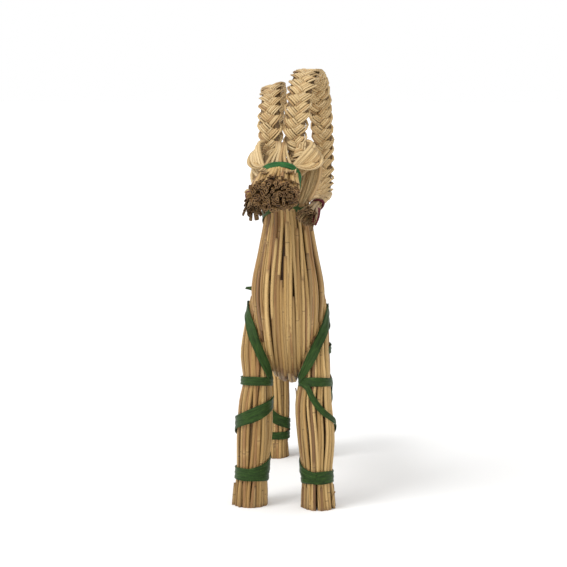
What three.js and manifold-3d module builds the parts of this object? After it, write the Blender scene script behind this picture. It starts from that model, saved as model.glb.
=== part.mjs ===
// A standing straw goat: a bent straw bundle makes head, neck and trunk, four straw bundles make
// the legs, two flat plaits make the curled horns, and ribbons bind them all together.
// Millimetres, +Z up. The goat faces -Y and stands on Z = 0.
import * as THREE from "three";
import Module from "manifold-3d";

const wasm = await Module();
wasm.setup();

// ---- Driving dimensions ----
const FLUTE_DEPTH = 0.9; // how deep the groove between two straws is
const GAP = 0.35; // clear space between pieces that touch
const SLIVER = 0.04; // edges finer than this are merged away
const RIBBON_WIDTH = 10;
const RIBBON_THICKNESS = 0.8;
const NARROW_RIBBON = 7; // the same ribbon, folded or rolled on itself
const WOUND_LIFT = 1.2; // how far a wound ribbon stands off the straws

const FRONT_Y = -83; // front feet
const HIND_Y = 94; // hind feet
const NECK_Y = -73; // axis of the neck
const TRUNK_Z = 134; // axis of the trunk
const CHEST_HALF_WIDTH = 31;
const HEAD_X = -5; // the head is set a little to one side
const SNOUT_Y = -132; // the cut face of the snout
const SNOUT_Z = 260;
const TAIL_Y = 132; // the cut face of the tail
const FOOT_RADIUS = 15;
const SOLE = 3; // cut off below the feet

const PLAIT_HALF_THICKNESS = 4;
const PLAIT_STEP = 8.6; // length along the horn from one chevron to the next
const RIDGE = 0.3; // how far a chevron's ridge stands out
const FURROW = 1.2; // how deep the furrow between two chevrons is
const CHEVRON_SLANT = 1.4; // how far the middle runs ahead of the edges, in half chevrons
const HORN_TURN_START = 183; // degrees on the oval where the horn leaves the head
const HORN_SWEEP = 268; // degrees that it goes round
const TIP_TURN = 26; // degrees that the plait is tipped at its tip

const NUDGE = 0.01; // step along a bundle or a horn when its direction is found
const BAND_CLEAR = GAP + 0.25; // how far a tight band stands off
const BAND_MARGIN = 1.4; // how far beyond its edges a tight band is held clear

// ---- Surfaces ----

/**
 * A closed body from rings of points, each ring with the same number of points. The four-sided
 * faces of the columns named in leanBack are split along their other diagonal.
 */
function loft(rings, leanBack = []) {
  const count = rings[0].length;
  const points = rings.flat();
  const faces = [];
  for (let i = 0; i + 1 < rings.length; i++) {
    for (let j = 0; j < count; j++) {
      const a = i * count + j;
      const b = i * count + ((j + 1) % count);
      const [c, d] = [b + count, a + count];
      faces.push(...(leanBack.includes(j) ? [a, b, d, b, c, d] : [a, b, c, a, c, d]));
    }
  }
  const caps = [
    [0, rings[0], -1],
    [(rings.length - 1) * count, rings[rings.length - 1], 1],
  ];
  for (const [first, ring, facing] of caps) {
    const middle = points.length;
    points.push(ring.reduce((sum, p) => sum.add(p), new THREE.Vector3()).divideScalar(count));
    for (let j = 0; j < count; j++) {
      const next = first + ((j + 1) % count);
      faces.push(...(facing > 0 ? [middle, first + j, next] : [middle, next, first + j]));
    }
  }
  const geometry = new THREE.BufferGeometry().setFromPoints(points);
  geometry.setIndex(faces);
  return geometry;
}

/** The manifold-3d solid of a closed geometry, turned right way out. */
function solidOf(geometry) {
  const index = Uint32Array.from(geometry.index.array);
  const vertProperties = Float32Array.from(geometry.attributes.position.array);
  const made = new wasm.Manifold(new wasm.Mesh({ numProp: 3, vertProperties, triVerts: index }));
  if (made.volume() > 0) return made;
  for (let i = 0; i < index.length; i += 3) {
    [index[i + 1], index[i + 2]] = [index[i + 2], index[i + 1]];
  }
  return new wasm.Manifold(new wasm.Mesh({ numProp: 3, vertProperties, triVerts: index }));
}

/** A solid's largest single body, as a geometry, without the slivers that a cut leaves. */
function geometryOf(solid) {
  const bodies = solid.decompose().sort((a, b) => b.volume() - a.volume());
  const { vertProperties, triVerts, numProp } = bodies[0].asOriginal().simplify(SLIVER).getMesh();
  const geometry = new THREE.BufferGeometry();
  const points = [];
  for (let i = 0; i < vertProperties.length; i += numProp) {
    points.push(new THREE.Vector3().fromArray(vertProperties, i));
  }
  geometry.setFromPoints(points);
  geometry.setIndex(Array.from(triVerts));
  return geometry;
}

/** Smooth interpolation through rows of numbers, at t from 0 to 1 along the rows. */
function along(rows, t) {
  const at = THREE.MathUtils.clamp(t, 0, 1) * (rows.length - 1);
  const i = Math.min(Math.floor(at), rows.length - 2);
  const f = at - i;
  const row = (k) => rows[THREE.MathUtils.clamp(k, 0, rows.length - 1)];
  return rows[0].map((_, c) => {
    const [p0, p1, p2, p3] = [row(i - 1)[c], row(i)[c], row(i + 1)[c], row(i + 2)[c]];
    const a = 2 * p1;
    const b = p2 - p0;
    const d = 2 * p0 - 5 * p1 + 4 * p2 - p3;
    const e = 3 * p1 - p0 - 3 * p2 + p3;
    return (a + b * f + d * f * f + e * f * f * f) / 2;
  });
}

const ACROSS = new THREE.Vector3(1, 0, 0);

/**
 * A bundle of straws round a bent axis. Stations are rows of [x, y, z, half width, half depth].
 */
class Bundle {
  constructor(stations, straws, steps) {
    this.stations = stations;
    this.straws = straws;
    this.steps = steps;
  }

  /** The axis point and the section's own directions at t. */
  frame(t) {
    const [x, y, z, halfWidth, halfDepth] = along(this.stations, t);
    const before = new THREE.Vector3(...along(this.stations, t - NUDGE));
    const after = new THREE.Vector3(...along(this.stations, t + NUDGE));
    const forward = after.sub(before).normalize();
    const side = ACROSS.clone().addScaledVector(forward, -forward.x).normalize();
    const outer = forward.clone().cross(side);
    return { centre: new THREE.Vector3(x, y, z), forward, side, outer, halfWidth, halfDepth };
  }

  /** A point on the skin, lifted off it; angle 0 is the +X side and a quarter turn the outer side. */
  point(t, angle, lift = 0) {
    const f = this.frame(t);
    return f.centre
      .addScaledVector(f.side, (f.halfWidth + lift) * Math.cos(angle))
      .addScaledVector(f.outer, (f.halfDepth + lift) * Math.sin(angle));
  }

  /** A point on the solid as built, straight from one ring to the next. */
  built(t, angle, lift = 0) {
    const at = THREE.MathUtils.clamp(t, 0, 1) * this.steps;
    const i = Math.min(Math.floor(at), this.steps - 1);
    const from = this.point(i / this.steps, angle, lift);
    return from.lerp(this.point((i + 1) / this.steps, angle, lift), at - i);
  }

  /** The fluted solid, or with a lift the smooth space that it needs. */
  geometry(lift = 0) {
    const corners = 2 * this.straws;
    const rings = [];
    for (let i = 0; i <= this.steps; i++) {
      rings.push(
        Array.from({ length: corners }, (_, j) => {
          const groove = lift === 0 && j % 2 ? -FLUTE_DEPTH : lift;
          return this.point(i / this.steps, (2 * Math.PI * j) / corners, groove);
        }),
      );
    }
    return loft(rings);
  }
}

// ---- Straw bundles ----

const body = new Bundle(
  [
    [HEAD_X - 1, SNOUT_Y, SNOUT_Z, 20.5, 13.5],
    [HEAD_X, -120, 263, 17, 11.5],
    [HEAD_X + 1, -107, 266, 14.5, 10.5],
    [-2, -91, 266, 16, 11.5],
    [-1, -77, 254, 18.5, 14],
    [0, NECK_Y + 1, 235, 20.5, 18],
    [0, NECK_Y, 210, 25, 23],
    [0, NECK_Y - 1, 180, CHEST_HALF_WIDTH - 0.5, 28],
    [0.5, -67, 154, 28.5, 33],
    [1, -49, 134.5, 24.5, 38],
    [0, -25, TRUNK_Z, 25, 32],
    [-1, 5, TRUNK_Z, 27, 28],
    [-2, 45, TRUNK_Z + 1, 26, 27],
    [-3, 82, TRUNK_Z + 2, 23, 25],
    [-3, 108, TRUNK_Z + 5, 13, 13],
    [-3, TAIL_Y, TRUNK_Z + 9, 16, 14],
  ],
  18,
  21,
);

/**
 * A leg bundle from its foot up; each row is [x, y, z, half width, half depth]. It starts a
 * little low, and is cut off level at the sole.
 */
const leg = (rows) => new Bundle(rows, 10, 9);

const frontLeft = leg([
  [-30.2, FRONT_Y, -SOLE, FOOT_RADIUS, FOOT_RADIUS],
  [-29.4, FRONT_Y, 13, 14.2, 14.2],
  [-28.7, FRONT_Y + 1, 29, 13.4, 13.4],
  [-27.2, FRONT_Y + 3, 58, 15.2, 15.2],
  [-26.4, FRONT_Y + 4, 84, 14.6, 15],
  [-25, FRONT_Y + 6, 103, 12.6, 14],
  [-25.5, FRONT_Y + 10, 125, 14, 13.5],
  [-25.5, FRONT_Y + 18, 148, 11, 12],
  [-25, FRONT_Y + 28, 170, 7.5, 8.5],
]);
const frontRight = leg([
  [27, FRONT_Y - 5, -SOLE, FOOT_RADIUS, FOOT_RADIUS],
  [26.2, FRONT_Y - 5, 13, 14, 14],
  [25.4, FRONT_Y - 4, 29, 13.2, 13.2],
  [24.6, FRONT_Y - 2, 58, 16, 16],
  [22.6, FRONT_Y, 84, 15.6, 15.6],
  [23.4, FRONT_Y + 3, 103, 13.6, 14],
  [23, FRONT_Y + 8, 125, 12.4, 13.5],
  [23.6, FRONT_Y + 17, 148, 10, 12],
  [24.5, FRONT_Y + 27, 168, 7, 8.5],
]);
const hindLeft = leg([
  [-23, HIND_Y, -SOLE, 14.4, 14.4],
  [-22.8, HIND_Y, 11, 12.6, 12.6],
  [-22.8, HIND_Y + 1, 20, 12.8, 12.8],
  [-22.8, HIND_Y + 1, 48, 14, 14],
  [-23.4, HIND_Y + 1, 78, 14, 14],
  [-25, HIND_Y, 104, 13, 13.5],
  [-25.5, HIND_Y - 3, 130, 10.5, 12.5],
  [-24, HIND_Y - 8, 154, 7, 9],
]);
const hindRight = leg([
  [14.5, HIND_Y + 3, -SOLE, 14.4, 14.4],
  [14.5, HIND_Y + 3, 11, 12.6, 12.6],
  [14.6, HIND_Y + 3, 20, 12.8, 12.8],
  [15, HIND_Y + 2, 48, 14, 14],
  [15.4, HIND_Y + 2, 78, 14, 14],
  [15.8, HIND_Y, 104, 12.4, 13.5],
  [16.8, HIND_Y - 3, 130, 10, 12.5],
  [16.5, HIND_Y - 8, 154, 7, 9],
]);

/** The smooth space that a bundle needs, with the gap round it. */
const clearance = (bundle) => solidOf(bundle.geometry(GAP));
const bodyClearance = clearance(body);

/** A leg's solid, hollowed on its inner side where it is pressed against the trunk. */
const pressedOn = (bundle) =>
  solidOf(bundle.geometry()).subtract(bodyClearance).trimByPlane([0, 0, 1], 0);

// ---- Horns ----

/**
 * Rows of [x, y, z, half width, half thickness, turn] down a horn: a tongue on the snout, a wide
 * root, once round an upright oval, then the tied tip and its tassel. The turn tips the plait.
 * On its way round, the horn drifts sideways from rootX to backX.
 */
function hornRows(h) {
  const { degToRad, smoothstep } = THREE.MathUtils;
  const rows = [
    [h.side * 8.6 + HEAD_X - 1, SNOUT_Y + 4, 276.5, 8, 3, 0],
    [h.side * 7.6 + HEAD_X + 1, -103, 281, 7, 3, 0],
    [h.fanX, -94, 283.5, h.fanHalfWidth, 3, 0],
    [h.fanX, -85, 290, h.fanHalfWidth - 1.2, 3.6, 0],
  ];
  const turns = 8;
  for (let i = 0; i <= turns; i++) {
    const f = i / turns;
    const angle = degToRad(HORN_TURN_START - HORN_SWEEP * f);
    const swell = h.swell * smoothstep(f, 0, 0.25);
    rows.push([
      h.side * (h.rootX + (h.backX - h.rootX) * smoothstep(f, h.driftFrom, h.driftTo)),
      h.centreY + h.depth * Math.cos(angle),
      h.centreZ + h.height * Math.sin(angle),
      h.halfWidth + swell - (swell + h.narrowing) * smoothstep(f, 0.35, 0.8),
      PLAIT_HALF_THICKNESS,
      h.rootTurn + (h.side * TIP_TURN - h.rootTurn) * smoothstep(f, 0.4, 1),
    ]);
  }
  rows.push([h.tip[0] + h.side * 1.5, h.tip[1] + 20, h.tip[2] + 1, 7.5, 4, h.side * 32]);
  rows.push([...h.tip, 5.2, 4.4, h.side * 30]);
  rows.push([...h.end, 9, 8, h.side * 20]);
  return rows;
}

const TONGUE_ROWS = 4; // rows before the plait begins
const TIP_ROWS = 2; // rows after it ends

class Horn {
  constructor(shape) {
    this.rows = hornRows(shape);
  }

  /** The middle, the way forward, and the section's edge and face directions at t. */
  frame(t) {
    const [x, y, z, halfWidth, halfThickness, turn] = along(this.rows, t);
    const before = new THREE.Vector3(...along(this.rows, t - NUDGE));
    const after = new THREE.Vector3(...along(this.rows, t + NUDGE));
    const forward = after.sub(before).normalize();
    const edge = ACROSS.clone().addScaledVector(forward, -forward.x).normalize();
    edge.applyAxisAngle(forward, THREE.MathUtils.degToRad(turn));
    const face = forward.clone().cross(edge);
    return { centre: new THREE.Vector3(x, y, z), forward, edge, face, halfWidth, halfThickness };
  }

  /** A point on the section at t; angle 0 is one edge of the plait, a quarter turn its face. */
  point(t, angle, lift = 0) {
    const f = this.frame(t);
    return f.centre
      .addScaledVector(f.edge, (f.halfWidth + lift) * Math.cos(angle))
      .addScaledVector(f.face, (f.halfThickness + lift) * Math.sin(angle));
  }

  /** The same point, for pieces that do not ask how the solid is built. */
  built(t, angle) {
    return this.point(t, angle);
  }

  /** Where the plait starts and ends, as t. */
  get plait() {
    const last = this.rows.length - 1;
    return [(TONGUE_ROWS - 0.5) / last, (last - TIP_ROWS) / last];
  }

  /** The solid: chevron ridges run from both edges to the middle of each face. */
  geometry() {
    const [start, end] = this.plait;
    const chevrons = Math.round(this.length(start, end) / PLAIT_STEP);
    const step = (end - start) / (2 * chevrons);
    const rings = [0, start / 3.5, start * 0.55, start * 0.8].map((t) => this.ring(t, 0, 0));
    for (let i = 0; i <= 2 * chevrons; i++) {
      const fade = Math.min(1, i / 2, (2 * chevrons - i) / 2);
      const lift = (i % 2 ? -FURROW : RIDGE) * fade;
      rings.push(this.ring(start + i * step, lift, CHEVRON_SLANT * step * fade));
    }
    rings.push(this.ring((end + 1) / 2, 0, 0), this.ring(1, 0, 0));
    return loft(rings);
  }

  /** One ring; its middle runs ahead of its edges by lag, which makes the chevron. */
  ring(t, lift, lag) {
    const corners = 8;
    return Array.from({ length: corners }, (_, j) => {
      const angle = (2 * Math.PI * j) / corners;
      return this.point(t + lag * (1 - Math.abs(Math.cos(angle))), angle, lift);
    });
  }

  /** Length of the middle line between two values of t. */
  length(from, to) {
    const pieces = 60;
    const at = (i) => new THREE.Vector3(...along(this.rows, from + ((to - from) * i) / pieces));
    let sum = 0;
    for (let i = 0; i < pieces; i++) sum += at(i).distanceTo(at(i + 1));
    return sum;
  }
}

const rightHorn = new Horn({
  side: 1,
  rootX: 5.8,
  fanX: 14.3,
  fanHalfWidth: 14.2,
  backX: 26,
  driftFrom: -0.1,
  driftTo: 0.85,
  halfWidth: 9.4,
  swell: 1.9,
  narrowing: 0.3,
  rootTurn: 0,
  centreY: -35,
  centreZ: 303,
  depth: 44,
  height: 52,
  tip: [24, -95, 249],
  end: [18.5, -117, 243],
});
const leftHorn = new Horn({
  side: -1,
  rootX: 14.4,
  fanX: -15.8,
  fanHalfWidth: 14.2,
  backX: 25.5,
  driftFrom: 0.45,
  driftTo: 1,
  halfWidth: 9.7,
  swell: 0.2,
  narrowing: 0.6,
  rootTurn: -16,
  centreY: -37,
  centreZ: 298,
  depth: 42,
  height: 45,
  tip: [-26.5, -95, 255],
  end: [-23.5, -117, 249],
});

// ---- Ribbons ----

/** A flat band drawn tight round a cloud of points, square to an axis through a centre. */
function tightBand(points, centre, axis, width, clear = BAND_CLEAR) {
  const turn = new THREE.Quaternion().setFromUnitVectors(new THREE.Vector3(0, 0, 1), axis);
  const place = new THREE.Matrix4().compose(centre, turn, new THREE.Vector3(1, 1, 1));
  const back = place.clone().invert();
  const flat = points
    .map((p) => p.clone().applyMatrix4(back))
    .filter((p) => Math.abs(p.z) <= width / 2 + BAND_MARGIN)
    .map((p) => [p.x, p.y]);
  const inner = wasm.CrossSection.hull(flat).simplify(0.1).offset(clear, "Miter");
  const outer = inner.offset(RIBBON_THICKNESS, "Miter");
  return outer.subtract(inner).extrude(width, 0, 0, [1, 1], true).transform(place.elements);
}

/** Points on a bundle's or horn's skin between two values of t. */
function skin(piece, from, to, count = 18, rings = 30) {
  const points = [];
  for (let i = 0; i <= rings; i++) {
    for (let j = 0; j < count; j++) {
      points.push(piece.built(from + ((to - from) * i) / rings, (2 * Math.PI * j) / count));
    }
  }
  return points;
}

/** A flat ribbon through samples, each with its place, the way off the straws, and its width. */
function strap(samples) {
  const last = samples.length - 1;
  const rings = samples.map(({ place, off, width }, i) => {
    const before = samples[Math.max(0, i - 1)].place;
    const after = samples[Math.min(last, i + 1)].place;
    const across = after.clone().sub(before).cross(off).normalize();
    const corner = (side, lift) =>
      place.clone().addScaledVector(across, (side * width) / 2).addScaledVector(off, lift);
    const thick = RIBBON_THICKNESS;
    return [corner(-1, 0), corner(1, 0), corner(1, thick), corner(-1, thick)];
  });
  const outerFace = 2; // it twists with the inner one when both are split the same way
  return solidOf(loft(rings, [outerFace]));
}

/** A ribbon wound on a bundle. Rows are [degrees round, t along, width]. */
function winding(bundle, rows, steps) {
  return strap(
    Array.from({ length: steps + 1 }, (_, i) => {
      const [degrees, t, width] = along(rows, i / steps);
      const angle = THREE.MathUtils.degToRad(degrees);
      const place = bundle.built(t, angle, WOUND_LIFT);
      const off = bundle.built(t, angle, WOUND_LIFT + 1).sub(place).normalize();
      return { place, off, width };
    }),
  );
}

/** The t at which an upright bundle reaches height z. */
function atHeight(bundle, z) {
  let [low, high] = [0, 1];
  for (let i = 0; i < 30; i++) {
    const middle = (low + high) / 2;
    if (along(bundle.stations, middle)[2] < z) low = middle;
    else high = middle;
  }
  return low;
}

/** A level band round an upright bundle at height z. */
function levelBand(bundle, z, width) {
  const [low, high] = [atHeight(bundle, z - width), atHeight(bundle, z + width)];
  const { centre, forward } = bundle.frame((low + high) / 2);
  return tightBand(skin(bundle, low, high, 15), centre, forward, width, WOUND_LIFT - 0.3);
}

/**
 * A ribbon wound on a leg. Rows are [degrees, z, width], with the degrees counted from the leg's
 * inner side over its front: 90 is the front, 180 the outer side and 270 the back.
 */
function legWinding(bundle, rows, steps) {
  const isLeft = bundle.stations[0][0] < 0;
  const turned = rows.map(([degrees, z, width]) => [
    isLeft ? -degrees : degrees - 180,
    atHeight(bundle, z),
    width,
  ]);
  return winding(bundle, turned, steps);
}

/** A leg's lower ribbon: a winding down the leg and a level band round its ankle. */
function lowerWrap(bundle, rows, ankle, width, tuckedUnder) {
  return legWinding(bundle, rows, 18)
    .add(levelBand(bundle, ankle, width))
    .trimByPlane([0, 0, -1], -tuckedUnder);
}

/** A leg's upper ribbon: a winding over its shoulder or haunch and a level band below it. */
function upperWrap(bundle, rows, bandHeight, steps = 14) {
  return legWinding(bundle, rows, steps)
    .add(levelBand(bundle, bandHeight, NARROW_RIBBON + 0.5))
    .subtract(bodyClearance);
}

/** A band square round the trunk at t, all the way along it. */
function trunkBand(t, width, tip = 0) {
  const { centre, forward } = body.frame(t);
  const axis = forward.applyAxisAngle(ACROSS, THREE.MathUtils.degToRad(tip));
  return tightBand(skin(body, t - 0.08, t + 0.08), centre, axis, width);
}

// ---- Assembly ----

const STRAW = { color: 0xc9a56b, roughness: 0.75, metalness: 0 };
const PLAITED = { color: 0xd8b983, roughness: 0.7, metalness: 0 };
const GREEN = { color: 0x2f5a26, roughness: 0.5, metalness: 0 };
const RED = { color: 0x7a1622, roughness: 0.5, metalness: 0 };

const goat = new THREE.Group();
goat.name = "straw_goat";

function piece(name, solid, look) {
  const mesh = new THREE.Mesh(geometryOf(solid), new THREE.MeshStandardMaterial(look));
  mesh.name = name;
  goat.add(mesh);
}

piece("body_bundle", solidOf(body.geometry()), STRAW);
piece("leg_front_left", pressedOn(frontLeft), STRAW);
piece("leg_front_right", pressedOn(frontRight), STRAW);
piece("leg_hind_left", pressedOn(hindLeft), STRAW);
piece("leg_hind_right", pressedOn(hindRight), STRAW);
piece("horn_left", solidOf(leftHorn.geometry()).subtract(bodyClearance), PLAITED);
piece("horn_right", solidOf(rightHorn.geometry()).subtract(bodyClearance), PLAITED);

const headPoints = [
  ...skin(body, 0.05, 0.2),
  ...skin(rightHorn, 0.03, 0.076, 12),
  ...skin(leftHorn, 0.03, 0.076, 12),
];
const headAxis = new THREE.Vector3(0, -1, -0.18).normalize();
const head = new THREE.Vector3(HEAD_X + 1, -108, 272);
piece("ribbon_head", tightBand(headPoints, head, headAxis, NARROW_RIBBON), GREEN);
const throatAxis = new THREE.Vector3(0, 0.42, 1).normalize();
const throat = new THREE.Vector3(0, NECK_Y, 239);
piece("ribbon_throat", tightBand(skin(body, 0.2, 0.5, 18, 60), throat, throatAxis, 8), GREEN);

const N = NARROW_RIBBON;
const W = RIBBON_WIDTH;
const FRONT_BAND_Z = 103;
const S = 8; // over the shoulders the ribbon is drawn tight, and so narrower
const leftShoulder = [
  [230, 165, N],
  [195, 164, N],
  [160, 159, S],
  [120, 147, S],
  [90, 132, S],
  [60, 118, S],
  [25, 105, N],
];
const rightShoulder = [
  [230, 164, N],
  [195, 163, N],
  [160, 157, N],
  [135, 145, S],
  [108, 133.5, S],
  [80, 121.5, S],
  [52, 111.5, S],
  [20, 104, N],
];
piece("ribbon_shoulder_left", upperWrap(frontLeft, leftShoulder, FRONT_BAND_Z), GREEN);
piece("ribbon_shoulder_right", upperWrap(frontRight, rightShoulder, FRONT_BAND_Z), GREEN);

const tuckedUnder = FRONT_BAND_Z - (N + 0.5) / 2 - GAP;
const leftLower = [
  [0, 88, W],
  [90, 77, W],
  [180, 66, W],
  [270, 50, W],
  [360, 36, W],
  [450, 29, W],
];
const ROLLED_RIBBON = 5; // the ribbon rolled into a cord that runs down the right leg
const rightLower = [
  [30, 103, ROLLED_RIBBON],
  [66, 98.5, ROLLED_RIBBON],
  [90, 90, ROLLED_RIBBON],
  [123, 79, ROLLED_RIBBON],
  [180, 68, ROLLED_RIBBON],
  [270, 52, N],
  [360, 35, N],
  [450, 27, N],
];
piece("ribbon_leg_front_left", lowerWrap(frontLeft, leftLower, 26.5, W, tuckedUnder), GREEN);
piece("ribbon_leg_front_right", lowerWrap(frontRight, rightLower, 26, W, tuckedUnder), GREEN);

const haunch = [
  [20, 128, N],
  [60, 142, N],
  [120, 145, W - 1],
  [180, 132, W - 1],
  [240, 116, N],
  [300, 106, N],
];
const hindLower = [
  [340, 95, W],
  [270, 82, W],
  [180, 61, W],
  [90, 39, W],
  [0, 30, W - 1],
  [-90, 22, N],
];
piece("ribbon_haunch_left", upperWrap(hindLeft, haunch, 102, 10), GREEN);
piece("ribbon_haunch_right", upperWrap(hindRight, haunch, 102, 10), GREEN);
piece("ribbon_leg_hind_left", lowerWrap(hindLeft, hindLower, 21, N, 97), GREEN);
piece("ribbon_leg_hind_right", lowerWrap(hindRight, hindLower, 21, N, 97), GREEN);

piece("ribbon_girth", trunkBand(0.765, W), GREEN);
piece("ribbon_tail", trunkBand(0.933, W), GREEN);

// The ribbon over the withers is tied on its left side, and one short end sticks out there.
const over = [
  [-14, 0.535, W],
  [-50, 0.56, W],
  [-90, 0.575, W],
  [-130, 0.56, W],
  [-166, 0.535, W],
];
const at = body.point(0.56, THREE.MathUtils.degToRad(-125), 3);
const knot = new Bundle(
  [
    [at.x + 5, at.y - 1, at.z + 3, 1.5, 1.5],
    [at.x + 2, at.y, at.z + 1.5, 3.4, 3],
    [at.x - 2, at.y + 0.5, at.z - 1, 3.4, 3],
    [at.x - 5, at.y + 1, at.z - 3, 1.5, 1.5],
  ],
  3,
  3,
);
const looseEnd = strap(
  [
    [at.x + 1, at.y, at.z + 1, N - 2],
    [(at.x - 38.5) / 2, at.y + 3, 173, N],
    [-38.5, -30, 174, 2.5],
  ].map(([x, y, z, width]) => {
    return { place: new THREE.Vector3(x, y, z), off: new THREE.Vector3(0, -0.7, 1), width };
  }),
);
const tied = winding(body, over, 8).add(solidOf(knot.geometry(0.01))).add(looseEnd);
const frontClearance = [body, frontLeft, frontRight].map(clearance);
piece("ribbon_withers", wasm.Manifold.difference([tied, ...frontClearance]), GREEN);

// ---- Horn ties ----

for (const [name, horn] of [
  ["tie_horn_left", leftHorn],
  ["tie_horn_right", rightHorn],
]) {
  const t = (horn.rows.length - 2) / (horn.rows.length - 1);
  const { centre, forward } = horn.frame(t - 0.012);
  const points = skin(horn, t - 0.05, t + 0.03, 16);
  piece(name, tightBand(points, centre, forward, 5, 2 * GAP + 0.3), RED);
}

export default goat;
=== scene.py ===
"""Dresses a standing goat that is bound from straw: bundles, plaited horns and satin ribbons."""

from __future__ import annotations

import logging
import math
import random
from dataclasses import dataclass, field
from enum import Enum
from functools import lru_cache

import bmesh
import bpy
import numpy as np
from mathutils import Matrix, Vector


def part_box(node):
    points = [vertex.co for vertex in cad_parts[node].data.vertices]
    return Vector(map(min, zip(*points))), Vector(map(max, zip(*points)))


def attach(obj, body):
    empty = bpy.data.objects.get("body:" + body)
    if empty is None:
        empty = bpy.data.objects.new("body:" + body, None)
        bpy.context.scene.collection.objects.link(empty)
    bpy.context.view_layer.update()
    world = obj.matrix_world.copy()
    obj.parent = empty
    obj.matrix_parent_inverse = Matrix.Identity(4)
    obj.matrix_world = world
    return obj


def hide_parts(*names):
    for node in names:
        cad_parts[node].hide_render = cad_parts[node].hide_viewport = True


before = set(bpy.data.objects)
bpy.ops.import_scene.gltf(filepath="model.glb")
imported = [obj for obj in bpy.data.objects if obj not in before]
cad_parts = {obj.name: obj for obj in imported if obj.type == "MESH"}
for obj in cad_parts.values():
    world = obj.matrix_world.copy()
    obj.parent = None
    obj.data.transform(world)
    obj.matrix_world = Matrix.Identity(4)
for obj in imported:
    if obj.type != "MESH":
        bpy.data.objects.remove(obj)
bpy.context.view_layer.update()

LOG = logging.getLogger("straw_goat")
MM = 0.001
BODY = "root"
GOLDEN_ANGLE = 137.5  # degrees from one straw to the next, so that they never line up
Array = np.ndarray


class Side(Enum):
    """The two sides of the goat, as seen from the front."""

    LEFT = -1
    RIGHT = 1


# ---------------------------------------------------------------- small maths


def smoothstep(value: Array | float, low: float, high: float) -> Array | float:
    """Eases from 0 at low to 1 at high.

    Args:
        value: A number or an array of numbers.
        low: Where the easing starts.
        high: Where the easing ends.

    Returns:
        The eased value, with the shape of the input.
    """
    x = np.clip((value - low) / (high - low), 0.0, 1.0)
    return x * x * (3.0 - 2.0 * x)


def unit(vectors: Array) -> Array:
    """Scales each row to length 1."""
    lengths = np.linalg.norm(vectors, axis=-1, keepdims=True)
    return vectors / np.maximum(lengths, 1e-9)


def flowing(rows: Array, t: Array) -> Array:
    """Smooth curve through rows of numbers.

    Args:
        rows: One row for each station.
        t: Places along the rows, from 0 at the first to 1 at the last.

    Returns:
        One interpolated row for each place.
    """
    last = len(rows) - 1
    at = np.clip(np.asarray(t, float), 0.0, 1.0) * last
    i = np.minimum(at.astype(int), last - 1)
    f = (at - i)[:, None]
    p0, p1 = rows[np.maximum(i - 1, 0)], rows[i]
    p2, p3 = rows[i + 1], rows[np.minimum(i + 2, last)]
    a, b = 2 * p1, p2 - p0
    c, d = 2 * p0 - 5 * p1 + 4 * p2 - p3, 3 * p1 - p0 - 3 * p2 + p3
    return (a + b * f + c * f**2 + d * f**3) / 2


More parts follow.
